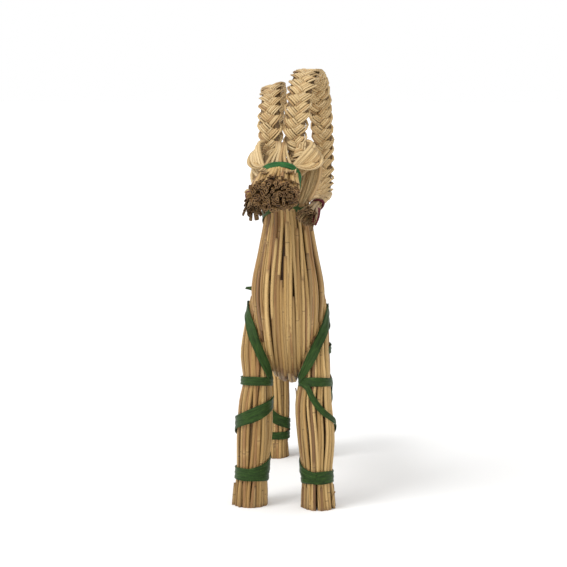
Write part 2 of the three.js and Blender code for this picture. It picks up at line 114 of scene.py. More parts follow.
class Spine:
    """A bent axis in millimetres, with a section that changes along it.

    Each station is x, y, z, half width, half depth and turn. The turn tips the section round the
    axis, in degrees, and is 0 where it is left out.
    """

    SAMPLES = 500

    def __init__(self, stations: list[tuple[float, ...]]) -> None:
        """Samples the curve through the stations once.

        Args:
            stations: One row for each station.
        """
        rows = np.array([tuple(s) + (0.0,) * (6 - len(s)) for s in stations], float)
        self.t = np.linspace(0.0, 1.0, self.SAMPLES)
        self.rows = flowing(rows, self.t)
        centre = self.rows[:, :3]
        forward = unit(np.gradient(centre, axis=0))
        side = np.array([1.0, 0.0, 0.0]) - forward * forward[:, :1]
        side = unit(side)
        outer = np.cross(forward, side)
        turn = np.radians(self.rows[:, 5:6])
        turned = side * np.cos(turn) + outer * np.sin(turn)
        self.table = np.hstack([self.rows, forward, turned, np.cross(forward, turned)])
        steps = np.linalg.norm(np.diff(centre, axis=0), axis=1)
        self.arc = np.concatenate([[0.0], np.cumsum(steps)])

    @property
    def length(self) -> float:
        """Length of the axis in millimetres."""
        return float(self.arc[-1])

    def at(self, t: Array) -> Array:
        """The curve's table at the given places.

        Args:
            t: Places along the spine.

        Returns:
            Rows of 6 section values, then the forward, side and outer directions.
        """
        place = np.clip(np.asarray(t, float), 0.0, 1.0) * (self.SAMPLES - 1)
        i = np.minimum(place.astype(int), self.SAMPLES - 2)
        f = (place - i)[:, None]
        return self.table[i] * (1 - f) + self.table[i + 1] * f

    def t_at_length(self, s: Array) -> Array:
        """Turns lengths from the start into places from 0 to 1."""
        return np.interp(s, self.arc, self.t)

    def t_at_height(self, z: float) -> float:
        """The place where an upright spine reaches height z."""
        return float(np.interp(z, self.rows[:, 2], self.t))

    def skin(self, t: Array, degrees: Array, lift: Array | float = 0.0, share: float = 1.0) -> Array:
        """Points on the section's outline.

        Args:
            t: Places along the spine.
            degrees: Angles round it, 0 on the +X side and 90 on the outer side.
            lift: Distance off the outline, in millimetres.
            share: The outline's size, from 0 on the axis to 1.

        Returns:
            One point for each place.
        """
        row = self.at(t)
        angle = np.radians(degrees)
        sin, cos = np.sin(angle), np.cos(angle)
        wide = (row[:, 3] * share + lift) * cos
        deep = (row[:, 4] * share + lift) * sin
        return row[:, :3] + row[:, 9:12] * wide[:, None] + row[:, 12:15] * deep[:, None]

    def t_on_plane(self, degrees: float, centre: Array, axis: Array, near: tuple[float, float]) -> float:
        """The place where the outline's line at one angle crosses a plane.

        Args:
            degrees: The angle round the spine.
            centre: A point of the plane.
            axis: The plane's normal.
            near: The stretch of the spine that is searched.

        Returns:
            The place on the spine.
        """
        t = np.linspace(*near, 160)
        height = (self.skin(t, np.full(160, degrees)) - centre) @ axis
        crossing = np.nonzero(np.diff(np.sign(height)))[0]
        if not len(crossing):
            return float(t[np.argmin(np.abs(height))])
        i = int(crossing[0])
        return float(t[i] + (t[i + 1] - t[i]) * height[i] / (height[i] - height[i + 1]))


# ---------------------------------------------------------------- straws


@dataclass(frozen=True)
class StrawLook:
    """What one straw is like.

    Attributes:
        hue: 0 is pale gold and 1 is pinkish brown.
        shade: How dark the whole straw is, from 0 to 1: painted shade for straws that lie deep or out of
            the light, plus a random darkening of tone.
        ends: How far the brown of a cut end runs up the straw, in millimetres.
    """

    hue: float
    shade: float = 0.0
    ends: float = 2.0


@lru_cache(maxsize=None)
def straw_blank(rings: int, sides: int) -> bpy.types.Mesh:
    """One straight hollow-ended tube of radius 1, a unit long from each ring to the next.

    Args:
        rings: How many lengths it is made of.
        sides: How many sides it has.

    Returns:
        A mesh that stands on Z = 0.
    """
    bm = bmesh.new()
    start = bmesh.ops.create_circle(bm, segments=sides, radius=1.0)["verts"]
    first = list({edge for vert in start for edge in vert.link_edges})

    def grow(edges: list[bmesh.types.BMEdge], rise: float, scale: float) -> list[bmesh.types.BMEdge]:
        """Extrudes a ring of edges along Z and scales it.

        Args:
            edges: The ring.
            rise: How far the new ring stands above it.
            scale: The new ring's size against it.

        Returns:
            The new ring.
        """
        made = bmesh.ops.extrude_edge_only(bm, edges=edges)["geom"]
        verts = [item for item in made if isinstance(item, bmesh.types.BMVert)]
        bmesh.ops.translate(bm, verts=verts, vec=(0.0, 0.0, rise))
        bmesh.ops.scale(bm, verts=verts, vec=(scale, scale, 1.0))
        held = set(verts)
        rows = [item for item in made if isinstance(item, bmesh.types.BMEdge)]
        return [edge for edge in rows if held.issuperset(edge.verts)]

    ring = first
    for _ in range(rings):
        ring = grow(ring, 1.0, 1.0)
    for loop, inward in ((first, 1.0), (ring, -1.0)):
        for edge in loop:
            edge.smooth = False
        rim = grow(loop, 0.0, 0.7)
        for edge in rim:
            edge.smooth = False
        floor = grow(rim, 0.4 * inward, 0.85)
        bmesh.ops.contextual_create(bm, geom=floor)
    bmesh.ops.recalc_face_normals(bm, faces=bm.faces)
    mesh = bpy.data.meshes.new(f"blank_{rings}_{sides}")
    bm.to_mesh(mesh)
    bm.free()
    mesh.polygons.foreach_set("use_smooth", [True] * len(mesh.polygons))
    return mesh


@lru_cache(maxsize=None)
def blank_points(rings: int, sides: int) -> Array:
    """The points of a straw blank.

    Args:
        rings: How many lengths it is made of.
        sides: How many sides it has.

    Returns:
        One row for each point.
    """
    mesh = straw_blank(rings, sides)
    points = np.empty(len(mesh.vertices) * 3)
    mesh.vertices.foreach_get("co", points)
    return points.reshape(-1, 3)


class StrawPile:
    """Straws that are laid one by one and end up as one mesh."""

    def __init__(self, name: str, seed: int) -> None:
        """Starts an empty pile with its own random numbers.

        Args:
            name: The piece's name.
            seed: The seed of its random numbers.
        """
        self.name = name
        self.random = random.Random(seed)
        self.blanks: list[tuple[int, int]] = []
        self.points: list[Array] = []
        self.grain: list[Array] = []
        self.tint: list[Array] = []

    def lay(
        self,
        path: Array,
        off: Array,
        half_width: float | Array,
        half_thick: float,
        look: StrawLook,
        sides: int = 8,
    ) -> None:
        """Bends one straw along a path.

        Args:
            path: Its middle line in millimetres, one point a row.
            off: The direction that its flat side faces, one row for each point.
            half_width: Half of its width.
            half_thick: Half of its thickness.
            look: Its colour and age.
            sides: How many sides the tube has.
        """
        rings = len(path) - 1
        blank = blank_points(rings, sides)
        forward = unit(np.gradient(path, axis=0))
        across = unit(np.cross(off, forward))
        up = np.cross(forward, across)
        steps = np.linalg.norm(np.diff(path, axis=0), axis=1)
        arc = np.concatenate([[0.0], np.cumsum(steps)])

        place = np.clip(blank[:, 2], 0.0, rings)
        i = np.minimum(place.astype(int), rings - 1)
        f = (place - i)[:, None]

        def blend(values: Array) -> Array:
            """Values of the path's points at the blank's points."""
            return values[i] * (1 - f) + values[i + 1] * f

        s = blend(arc[:, None])[:, 0]
        if isinstance(half_width, np.ndarray):
            half_width = blend(half_width[:, None])
        wide = blend(across) * (blank[:, :1] * half_width)
        thick = blend(up) * (blank[:, 1:2] * half_thick)
        points = (blend(path) + wide + thick) * MM
        points[:, 2] = np.maximum(points[:, 2], 0.0)
        self.points.append(points)
        self.blanks.append((rings, sides))

        shift = self.random.uniform(0.0, 400.0)
        self.grain.append(np.column_stack([blank[:, 0], blank[:, 1], s + shift]))
        radius = np.linalg.norm(blank[:, :2], axis=1)
        # Blue of the tint: the brown of the cut ends, and above one half the hollow of each end, which
        # gets painted shade.
        cut = np.exp(-np.minimum(s, arc[-1] - s) / max(look.ends, 0.1))
        cut = np.where(radius < 0.95, 1.0 + 0.9 * (radius < 0.65), cut) / 2.0
        ones = np.ones_like(s)
        # Painted shade along both edges of each straw, where the gaps between straws lie; it adds to the
        # straw's own shade in the tint's green.
        painted_gap_shade = 0.42 * smoothstep(np.abs(blank[:, 0]), 0.45, 1.05)
        shade = np.minimum(look.shade + painted_gap_shade, 1.0)
        self.tint.append(np.column_stack([ones * look.hue, shade, cut, ones]))

    def mesh_object(self, finish: "StrawFinish", slot: str, nodes: list[str]) -> bpy.types.Object:
        """Joins the straws into one dressed piece.

        Args:
            finish: The finish of the straws.
            slot: The record's material slot; not used.
            nodes: The CAD nodes that the piece stands for.

        Returns:
            The finished piece.
        """
        bm = bmesh.new()
        for rings, sides in self.blanks:
            bm.from_mesh(straw_blank(rings, sides))
        mesh = bpy.data.meshes.new(self.name)
        bm.to_mesh(mesh)
        bm.free()
        mesh.vertices.foreach_set("co", np.vstack(self.points).ravel())
        grain = mesh.attributes.new("grain", "FLOAT_VECTOR", "POINT")
        grain.data.foreach_set("vector", np.vstack(self.grain).ravel())
        tint = mesh.attributes.new("tint", "FLOAT_COLOR", "POINT")
        tint.data.foreach_set("color", np.vstack(self.tint).ravel())
        mesh.update()
        return settle(self.name, mesh, finish.material(), nodes)


def settle(
    name: str,
    mesh: bpy.types.Mesh,
    material: bpy.types.Material,
    nodes: list[str],
) -> bpy.types.Object:
    """Puts a mesh into the scene as a piece of the goat.

    Args:
        name: The piece's name.
        mesh: Its mesh, in place.
        material: Its finish.
        nodes: The CAD nodes that it stands for.

    Returns:
        The object.
    """
    piece = bpy.data.objects.new(name, mesh)
    bpy.context.collection.objects.link(piece)
    mesh.materials.append(material)
    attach(piece, BODY)
    if nodes:
        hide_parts(*nodes)
    triangles = sum(len(face.vertices) - 2 for face in mesh.polygons)
    LOG.info("%s: %d triangles", name, triangles)
    return piece


# ---------------------------------------------------------------- finishes


class Wire:
    """A shader value that adds Math nodes when it is used in an expression."""

    def __init__(self, tree: bpy.types.NodeTree, socket: bpy.types.NodeSocket) -> None:
        """Wraps an output socket."""
        self.tree = tree
        self.socket = socket

    def maths(self, operation: str, *values: "Wire | float", clamp: bool = False) -> "Wire":
        """Adds a Math node on this value.

        Args:
            operation: The Math node's operation.
            values: The node's first and later inputs.
            clamp: Whether the result is kept between 0 and 1.

        Returns:
            The node's output.
        """
        node = self.tree.nodes.new("ShaderNodeMath")
        node.operation = operation
        node.use_clamp = clamp
        for entry, value in zip(node.inputs, values):
            if isinstance(value, Wire):
                self.tree.links.new(value.socket, entry)
            else:
                entry.default_value = value
        return Wire(self.tree, node.outputs[0])

    def __add__(self, other: "Wire | float") -> "Wire":
        """Sum."""
        return self.maths("ADD", self, other)

    __radd__ = __add__

    def __mul__(self, other: "Wire | float") -> "Wire":
        """Product."""
        return self.maths("MULTIPLY", self, other)

    __rmul__ = __mul__

    def __sub__(self, other: "Wire | float") -> "Wire":
        """Difference."""
        return self.maths("SUBTRACT", self, other)

    def __rsub__(self, other: "Wire | float") -> "Wire":
        """Difference from a number."""
        return self.maths("SUBTRACT", other, self)

    def clamped(self) -> "Wire":
        """The value kept between 0 and 1."""
        return self.maths("ADD", self, 0.0, clamp=True)

    def between(self, low: float, high: float) -> "Wire":
        """A straight ramp from 0 at low to 1 at high."""
        return self.maths("MULTIPLY", self - low, 1.0 / (high - low), clamp=True)


class Shader:
    """One material's node tree and its Principled shader."""

    def __init__(self, name: str) -> None:
        """Makes the material with an empty tree.

        Args:
            name: The material's name.
        """
        self.material = bpy.data.materials.new(name)
        self.material.use_nodes = True
        self.tree = self.material.node_tree
        self.tree.nodes.clear()
        self.output = self.tree.nodes.new("ShaderNodeOutputMaterial")
        self.surface = self.tree.nodes.new("ShaderNodeBsdfPrincipled")
        self.tree.links.new(self.surface.outputs[0], self.output.inputs["Surface"])

    def node(self, kind: str, settings: dict, inputs: dict, out: int | str = 0) -> Wire:
        """Adds any node.

        Args:
            kind: The node's type, without its ShaderNode prefix.
            settings: The node's own properties; "stops" fills a colour ramp.
            inputs: Values or wires for its sockets, by name or number.
            out: The output that is wanted.

        Returns:
            That output.
        """
        node = self.tree.nodes.new("ShaderNode" + kind)
        for key, value in settings.items():
            if key == "stops":
                self._fill_ramp(node.color_ramp, value)
            else:
                setattr(node, key, value)
        for key, value in inputs.items():
            self.feed(node.inputs[key], value)
        return Wire(self.tree, node.outputs[out])

    def _fill_ramp(self, ramp: bpy.types.ColorRamp, stops: list[tuple]) -> None:
        """Gives a colour ramp its stops.

        Args:
            ramp: The ramp.
            stops: A place and a colour for each stop.
        """
        while len(ramp.elements) < len(stops):
            ramp.elements.new(1.0)
        for element, (place, colour) in zip(ramp.elements, stops):
            element.position = place
            element.color = (*colour, 1.0)

    def feed(self, entry: bpy.types.NodeSocket, value: object) -> None:
        """Links a wire to a socket, or sets the socket's value.

        Args:
            entry: The socket.
            value: A wire, or what the socket can hold.
        """
        if isinstance(value, Wire):
            self.tree.links.new(value.socket, entry)
        else:
            entry.default_value = value

    def mix(self, factor: Wire | float, a: object, b: object, blend: str = "MIX") -> Wire:
        """Mixes two colours."""
        settings = {"data_type": "RGBA", "blend_type": blend, "clamp_factor": True}
        return self.node("Mix", settings, {0: factor, 6: a, 7: b}, 2)

    def noise(self, vector: Wire, scale: float, detail: float = 3.0, rough: float = 0.6) -> Wire:
        """A noise value over a vector."""
        inputs = {"Vector": vector, "Scale": scale, "Detail": detail, "Roughness": rough}
        return self.node("TexNoise", {}, inputs, "Fac")

    def stretch(self, vector: Wire, sizes: tuple[float, float, float]) -> Wire:
        """Scales a vector along its axes."""
        return self.node("VectorMath", {"operation": "MULTIPLY"}, {0: vector, 1: sizes})

    def bump(self, height: Wire, distance: float, strength: float = 1.0) -> Wire:
        """A bumped normal."""
        inputs = {"Height": height, "Distance": distance, "Strength": strength}
        return self.node("Bump", {}, inputs, "Normal")


Colour = tuple[float, float, float]


def rgba(colour: Colour) -> tuple[float, float, float, float]:
    """A colour with full alpha."""
    return (*colour, 1.0)


@dataclass(frozen=True)
class StrawFinish:
    """Dry straw: long fibres, stem joints, stains and brown cut ends, with painted shade in the hollows
    of the ends and on straws that the tint marks as shaded.
    """

    name: str = "dry_straw"
    palette: tuple[Colour, ...] = (
        (0.66, 0.44, 0.175),
        (0.52, 0.325, 0.110),
        (0.42, 0.245, 0.074),
        (0.37, 0.190, 0.066),
        (0.22, 0.112, 0.038),
    )
    old: Colour = (0.12, 0.060, 0.022)
    cut: Colour = (0.27, 0.150, 0.062)
    # Painted shade for the hollow inside each cut end.
    hollow: Colour = (0.060, 0.028, 0.011)
    roughness: float = 0.40
    joint_gap: float = 131.0

    def material(self) -> bpy.types.Material:
        """The finish as a material, made once."""
        made = bpy.data.materials.get(self.name)
        return made or self._build()

    def _build(self) -> bpy.types.Material:
        """Builds the node tree.

        Returns:
            The material.
        """
        shader = Shader(self.name)
        grain = shader.node("Attribute", {"attribute_name": "grain"}, {}, "Vector")
        tint = shader.node("Attribute", {"attribute_name": "tint"}, {}, "Color")
        hue, shade, cut = (
            shader.node("SeparateColor", {}, {0: tint}, part) for part in ("Red", "Green", "Blue")
        )
        along = shader.node("SeparateXYZ", {}, {0: grain}, "Z")

        fibres = shader.noise(shader.stretch(grain, (6.0, 6.0, 0.020)), 1.6, 4.0, 0.7)
        streaks = shader.noise(shader.stretch(grain, (1.3, 1.3, 0.010)), 1.0, 3.0, 0.6)
        stains = shader.noise(shader.stretch(grain, (0.9, 0.9, 0.045)), 1.0, 5.0, 0.62)
        specks = shader.noise(shader.stretch(grain, (2.2, 2.2, 0.35)), 1.5, 2.0, 0.5)

        steps = len(self.palette) - 1
        stops = [(i / steps, colour) for i, colour in enumerate(self.palette)]
        pick = (hue + (streaks - 0.5) * 0.6).clamped()
        colour = shader.node("ValToRGB", {"stops": stops}, {0: pick})
        colour = shader.mix(stains.between(0.60, 0.82) * 0.55, colour, rgba(self.old))
        colour = shader.mix(fibres.between(0.56, 0.66) * 0.75, colour, rgba(self.old))
        colour = shader.mix(fibres.between(0.42, 0.30) * 0.35, colour, rgba(self.palette[0]))
        colour = shader.mix(specks.between(0.64, 0.69) * 0.7, colour, rgba(self.old))
        cracks = shader.noise(shader.stretch(grain, (3.1, 3.1, 0.012)), 2.0, 2.0, 0.5)
        colour = shader.mix(cracks.between(0.63, 0.68) * 0.8, colour, rgba(self.old))

        joints = along * (1.0 / self.joint_gap)
        near = joints.maths("ABSOLUTE", joints.maths("FRACT", joints) - 0.5)
        ring = 1.0 - near.between(0.002, 0.005)
        collar = (1.0 - near.between(0.006, 0.04)) * 0.4
        colour = shader.mix(collar, colour, rgba(self.palette[0]))
        colour = shader.mix(ring * 0.55, colour, rgba(self.old))

        colour = shader.mix((cut * 2.0).clamped() * 0.8, colour, rgba(self.cut))
        # Painted shade in the hollow of each cut end.
        colour = shader.mix(cut.between(0.5, 0.95), colour, rgba(self.hollow))
        # The tint's green darkens the straw toward this brown: painted shade for deep straws, the plait's
        # core, straw edges and the left horn, plus a random darkening of tone.
        dark = shader.mix(shade, (1.0, 1.0, 1.0, 1.0), (0.16, 0.115, 0.075, 1.0))
        colour = shader.mix(1.0, colour, dark, "MULTIPLY")

        height = fibres * 0.7 + ring * 0.8 + stains * 0.2
        rough = (self.roughness + stains * 0.2 + cut * 0.4).clamped()
        shader.feed(shader.surface.inputs["Base Color"], colour)
        shader.feed(shader.surface.inputs["Roughness"], rough)
        shader.feed(shader.surface.inputs["Normal"], shader.bump(height, 0.0005, 0.7))
        shader.surface.inputs["Specular IOR Level"].default_value = 0.4
        return shader.material


@dataclass(frozen=True)
class SatinFinish:
    """A woven satin ribbon with a soft sheen; part of the sheen is painted highlight in its colour, and
    its creases get painted shade.
    """

    name: str
    base: Colour
    # Painted highlight colour, laid on patches and along the warp threads.
    painted_highlight: Colour
    # Painted shade colour, laid in the creases.
    shadow: Colour
    roughness: float = 0.36

    def material(self) -> bpy.types.Material:
        """The finish as a material, made once."""
        made = bpy.data.materials.get(self.name)
        return made or self._build()

    def _build(self) -> bpy.types.Material:
        """Builds the node tree.

        Returns:
            The material.
        """
        shader = Shader(self.name)
        cloth = shader.node("UVMap", {"uv_map": "ribbon"}, {}, 0)
        creases = shader.noise(shader.stretch(cloth, (0.05, 1.1, 1.0)), 1.0, 4.0, 0.6)
        wear_and_sheen = shader.noise(shader.stretch(cloth, (0.16, 0.9, 1.0)), 1.0, 3.0, 0.5)
        split = {n: shader.node("SeparateXYZ", {}, {0: cloth}, n) for n in ("X", "Y")}
        warp = split["Y"].maths("SINE", split["Y"] * 22.0)
        weft = split["X"].maths("SINE", split["X"] * 17.0)
        # Painted shade in the creases, then painted highlight on patches and along the warp threads; the
        # patch noise also varies the roughness.
        colour = shader.mix(creases.between(0.35, 0.65), rgba(self.shadow), rgba(self.base))
        colour = shader.mix(wear_and_sheen.between(0.5, 0.8) * 0.6, colour, rgba(self.painted_highlight))
        colour = shader.mix(warp.between(0.2, 1.0) * 0.12, colour, rgba(self.painted_highlight))
        height = creases * 0.7 + warp * 0.04 + weft * 0.03
        shader.feed(shader.surface.inputs["Base Color"], colour)
        shader.feed(shader.surface.inputs["Roughness"], self.roughness + wear_and_sheen * 0.2)
        shader.feed(shader.surface.inputs["Normal"], shader.bump(height, 0.0006, 0.6))
        shader.surface.inputs["Sheen Weight"].default_value = 0.08
        shader.surface.inputs["Sheen Roughness"].default_value = 0.4
        shader.surface.inputs["Specular IOR Level"].default_value = 0.15
        return shader.material


@dataclass(frozen=True)
class FloorFinish:
    """Matt white paint for the studio's floor, which glows white far away from the goat."""

    name: str = "studio_floor"
    colour: Colour = (0.92, 0.92, 0.915)
    near: float = 0.5
    far: float = 3.0
    glow: float = 0.35

    def material(self) -> bpy.types.Material:
        """The finish as a material.

        Returns:
            The material.
        """
        shader = Shader(self.name)
        place = shader.node("TexCoord", {}, {}, "Object")
        reach = shader.node("VectorMath", {"operation": "LENGTH"}, {0: place}, "Value")
        white = reach.between(self.near, self.far) * self.glow
        shader.feed(shader.surface.inputs["Emission Color"], white)
        shader.surface.inputs["Emission Strength"].default_value = 1.0
        shader.surface.inputs["Base Color"].default_value = rgba(self.colour)
        shader.surface.inputs["Roughness"].default_value = 0.9
        shader.surface.inputs["Specular IOR Level"].default_value = 0.1
        return shader.material


STRAW = StrawFinish()
PLAIT = StrawFinish(
    name="plaited_straw",
    palette=(
        (0.76, 0.575, 0.31),
        (0.70, 0.51, 0.255),
        (0.63, 0.44, 0.20),
        (0.56, 0.36, 0.155),
        (0.42, 0.25, 0.10),
    ),
    old=(0.27, 0.150, 0.058),
    roughness=0.38,
    joint_gap=173.0,
)
# Each satin gives its own colour, then a painted highlight colour, then a painted shade colour.
GREEN = SatinFinish("green_satin", (0.026, 0.066, 0.010), (0.07, 0.135, 0.026), (0.009, 0.022, 0.004))
LEAF = SatinFinish("leaf_satin", (0.020, 0.115, 0.024), (0.06, 0.23, 0.062), (0.006, 0.040, 0.009))
RED = SatinFinish("red_satin", (0.13, 0.004, 0.014), (0.24, 0.012, 0.035), (0.045, 0.001, 0.005))


# ---------------------------------------------------------------- bundles


@dataclass(frozen=True)
class Layer:
    """Straws laid round a bundle at one depth.

    Attributes:
        count: How many straws go round.
        depth: How deep they lie, in millimetres.
        shade: How dark they are, from 0 to 1: painted shade for layers that lie under the outer straws.
        span: Where they start and end along the bundle.
        rings: How many lengths each straw has.
        wander: How far they stray to each side, in millimetres.
        slack: How unevenly their ends are cut, in millimetres.
    """

    count: int
    depth: float
    shade: float
    span: tuple[float, float]
    rings: int
    wander: float = 0.9
    slack: float = 1.2


@dataclass(frozen=True)
class CutEnd:
    """The cut face of a bundle, filled with the ends of its inner straws.

    Attributes:
        place: Where it is along the bundle, 0 or 1.
        count: How many straw ends it shows.
        length: How far the straws reach into the bundle, as a share of it.
        slack: How unevenly they are cut, in millimetres.
    """

    place: float
    count: int
    length: float
    slack: float = 0.6


@dataclass
class Bundle:
    """Straws that lie side by side round a spine and are bound into one bundle."""

    name: str
    stations: list[tuple[float, ...]]
    seed: int
    layers: tuple[Layer, ...] = ()
    cuts: tuple[CutEnd, ...] = ()
    half_width: float = 1.7
    half_thick: float = 1.4
    pile: StrawPile = field(init=False)
    spine: Spine = field(init=False)

    def __post_init__(self) -> None:
        """Prepares the spine and the pile."""
        self.spine = Spine(self.stations)
        self.pile = StrawPile(self.name + "_straws", self.seed)

    def lay_straw(
        self,
        degrees: float,
        depth: float,
        span: tuple[float, float],
        rings: int,
        look: StrawLook,
        wander: float = 0.0,
        size: tuple[float, float] = (1.0, 1.0),
        lift: tuple[float, float] = (0.0, 0.0),
        roll: float = 0.3,
        share: float = 1.0,
    ) -> None:
        """Lays one straw along the bundle.

        Args:
            degrees: Where it lies round the bundle.
            depth: How deep it lies under the skin, in millimetres.
            span: Where it starts and ends along the spine.
            rings: How many lengths it has.
            look: Its colour and age.
            wander: How far it strays to each side, in millimetres.
            size: Its width and thickness against the bundle's usual straw.
            lift: How far its start and its end stand off the bundle, in millimetres.
            roll: How far it may be turned about itself, in radians.
            share: The size of the outline that it follows.
        """
        draw = self.pile.random
        t = np.linspace(span[0], span[1], rings + 1)
        phase, speed = draw.uniform(0, 6.28), draw.uniform(0.6, 1.8)
        radius = self.spine.at(np.array([(span[0] + span[1]) / 2]))[0, 3]
        angle = degrees + math.degrees(wander / radius) * np.sin(phase + speed * 6.28 * t)
        width = self.half_width * size[0] * draw.uniform(0.82, 1.18)
        thick = self.half_thick * size[1] * draw.uniform(0.8, 1.12)
        ease = np.linspace(0.0, 1.0, rings + 1)
        sink = depth + thick + 0.35 * np.sin(phase * 1.7 + 9.0 * t)
        sink = sink - lift[0] * (1 - ease) ** 3 - lift[1] * ease**3
        path = self.spine.skin(t, angle, -sink, share)
        off = unit(self.spine.skin(t, angle, 1.0 - sink, share) - path)
        turn = draw.uniform(-roll, roll)
        forward = unit(np.gradient(path, axis=0))
        off = unit(off * math.cos(turn) + np.cross(forward, off) * math.sin(turn))
        self.pile.lay(path, off, width, thick, look)

    def look(self, shade: float = 0.0, ends: float = 2.5) -> StrawLook:
        """A straw's random look.

        Args:
            shade: Painted shade for its place in the bundle; a random darkening of tone is added to it.
            ends: How far the brown of its ends runs.

        Returns:
            The look.
        """
        draw = self.pile.random
        hue = min(1.0, max(0.0, draw.gauss(0.36, 0.34)))
        return StrawLook(hue, min(1.0, shade + abs(draw.gauss(0.0, 0.2))), ends)

    def wrap(self, layer: Layer) -> None:
        """Lays one layer of straws.

        Args:
            layer: The layer.
        """
        draw = self.pile.random
        offset = draw.uniform(0, 360)
        slack = layer.slack / self.spine.length
        for i in range(layer.count):
            degrees = offset + 360.0 * (i + draw.uniform(-0.25, 0.25)) / layer.count
            start = layer.span[0] + abs(draw.gauss(0, slack))
            end = layer.span[1] - abs(draw.gauss(0, slack))
            deep = layer.depth + draw.uniform(0.0, 1.3)
            look = self.look(layer.shade)
            self.lay_straw(degrees, deep, (start, end), layer.rings, look, layer.wander)

    def fill(self, cut: CutEnd) -> None:
        """Fills a cut end, with straws that are crushed and turned every way.

        Args:
            cut: The cut end.
        """
        draw = self.pile.random
        way = 1.0 if cut.place < 0.5 else -1.0
        for i in range(cut.count):
            share = math.sqrt((i + 0.5) / cut.count) * 0.95
            degrees = GOLDEN_ANGLE * i + draw.uniform(-9, 9)
            start = cut.place + way * abs(draw.gauss(0, cut.slack)) / self.spine.length
            look = self.look(0.05 + 0.25 * draw.random(), 3.0)
            size = (draw.uniform(1.0, 1.4), draw.uniform(0.5, 0.8))
            span = (start, cut.place + way * cut.length)
            self.lay_straw(degrees, -0.6, span, 5, look, 0.3, size, roll=1.57, share=share)

    def build(self) -> bpy.types.Object:
        """Lays every straw and returns the finished bundle."""
        for layer in self.layers:
            self.wrap(layer)
        for cut in self.cuts:
            self.fill(cut)
        self.add_strays()
        return self.pile.mesh_object(STRAW, "straw", [self.name])

    def add_strays(self) -> None:
        """Adds loose straws; a plain bundle has none."""


@dataclass
class Body(Bundle):
    """Head, neck, chest, trunk and tail: one long bundle, bent twice."""

    ruff_straws: int = 44
    cap_straws: int = 26
    crossing_straws: int = 14
    fringe_straws: int = 16

    def add_strays(self) -> None:
        """Adds the ruff of the snout, crossing straws and the fringe under the chest."""
        draw = self.pile.random
        for i in range(self.ruff_straws):
            degrees = 360.0 * (i + draw.uniform(-0.4, 0.4)) / self.ruff_straws
            left = max(0.0, -math.cos(math.radians(degrees)))
            lift = draw.uniform(-2.2, 1.4) + 2.4 * left * draw.random()
            span = (draw.uniform(-0.003, 0.016), draw.uniform(0.075, 0.09))
            size = (draw.uniform(0.8, 1.1), draw.uniform(0.45, 0.75))
            self.lay_straw(degrees, 0.2, span, 9, self.look(0.0, 1.5), 0.3, size, (lift, -1.0), 0.8)
        for i in range(self.cap_straws):
            f = 2 * (i + 0.5) / self.cap_straws - 1 + draw.uniform(-0.03, 0.03)
            drop = 1 - math.cos(1.2 * f)
            tail = (-4 + 14.5 * f, -104.0, 284.0 - 9 * drop)
            waist = (-5 + 16 * f, -113.0, 281.0 - 10 * drop)
            rim = (-6 + 20 * f, -130.0 + draw.uniform(-2.5, 2), 275.0 - 14 * drop + draw.uniform(-2.5, 2))
            path = flowing(np.array([tail, waist, rim]), np.linspace(0, 1, 10))
            off = np.tile(np.array([0.7 * f, -0.2 + draw.uniform(-0.4, 0.4), 1.0]), (10, 1))
            self.pile.lay(path, off, draw.uniform(1.3, 2.1), 0.7, self.look(0.0, 1.5), 6)
        for _ in range(self.crossing_straws):
            start = draw.uniform(0.27, 0.44)
            span = (start, start + draw.uniform(0.08, 0.2))
            degrees = draw.uniform(25, 155)
            self.lay_straw(degrees, -0.5, span, 16, self.look(0.0, 2.0), 2.0, (0.9, 0.9), (0.0, -1.2))
        for i in range(self.fringe_straws):
            degrees = 90 + 42 * (2 * (i + 0.5) / self.fringe_straws - 1) + draw.uniform(-2, 2)
            span = (draw.uniform(0.42, 0.47), 0.585 + draw.uniform(-0.012, 0.006))
            look = self.look(0.05, 5.0)
            self.lay_straw(degrees, 0.0, span, 16, look, 1.0, (0.95, 0.9), (-1.5, draw.uniform(0, 1.5)))


@dataclass
class Leg(Bundle):
    """A leg bundle, cut level at the sole."""

    splinters: tuple[tuple[float, float, float], ...] = ()

    def add_strays(self) -> None:
        """Adds splinters: each has its angle, its height and how far it stands out."""
        for degrees, height, out in self.splinters:
            t = self.spine.t_at_height(height)
            look = self.look(0.1, 3.0)
            self.lay_straw(degrees, -0.2, (t - 0.08, t), 8, look, 0.0, (0.4, 0.4), (-1.0, out))


# ---------------------------------------------------------------- plaited horns


@dataclass(frozen=True)
class HornShape:
    """Where a horn runs, in millimetres and as the frame has it.

    Attributes:
        root_x: How far from the middle it stands where it leaves the head.
        back_x: How far from the middle it comes down again.
        drift: The stretch of its turn in which it drifts from one to the other.
        centre: Y and Z of the middle of the oval that it goes round.
        radii: Half of the oval's depth and height.
        fan_x: The middle of the wide root.
        fan_half: Half of the root's width.
        half_width: Half of the plait's width above the root.
        swell: How much wider that is at the top.
        narrowing: How much narrower it is at the tip.
        root_turn: How far the plait is tipped at its root, in degrees.
        tip: Where it is tied.
        end: Where its tassel ends.
        fan_straws: How many straws fold over its root.
        cheek_straws: How many straws fill the side of the head under it.
        cheek_reach: How far out those go, against the farther cheek.
    """

    root_x: float
    back_x: float
    drift: tuple[float, float]
    centre: tuple[float, float]
    radii: tuple[float, float]
    fan_x: float
    fan_half: float
    half_width: float
    swell: float
    narrowing: float
    root_turn: float
    tip: tuple[float, float, float]
    end: tuple[float, float, float]
    fan_straws: int
    cheek_straws: int
    cheek_reach: float


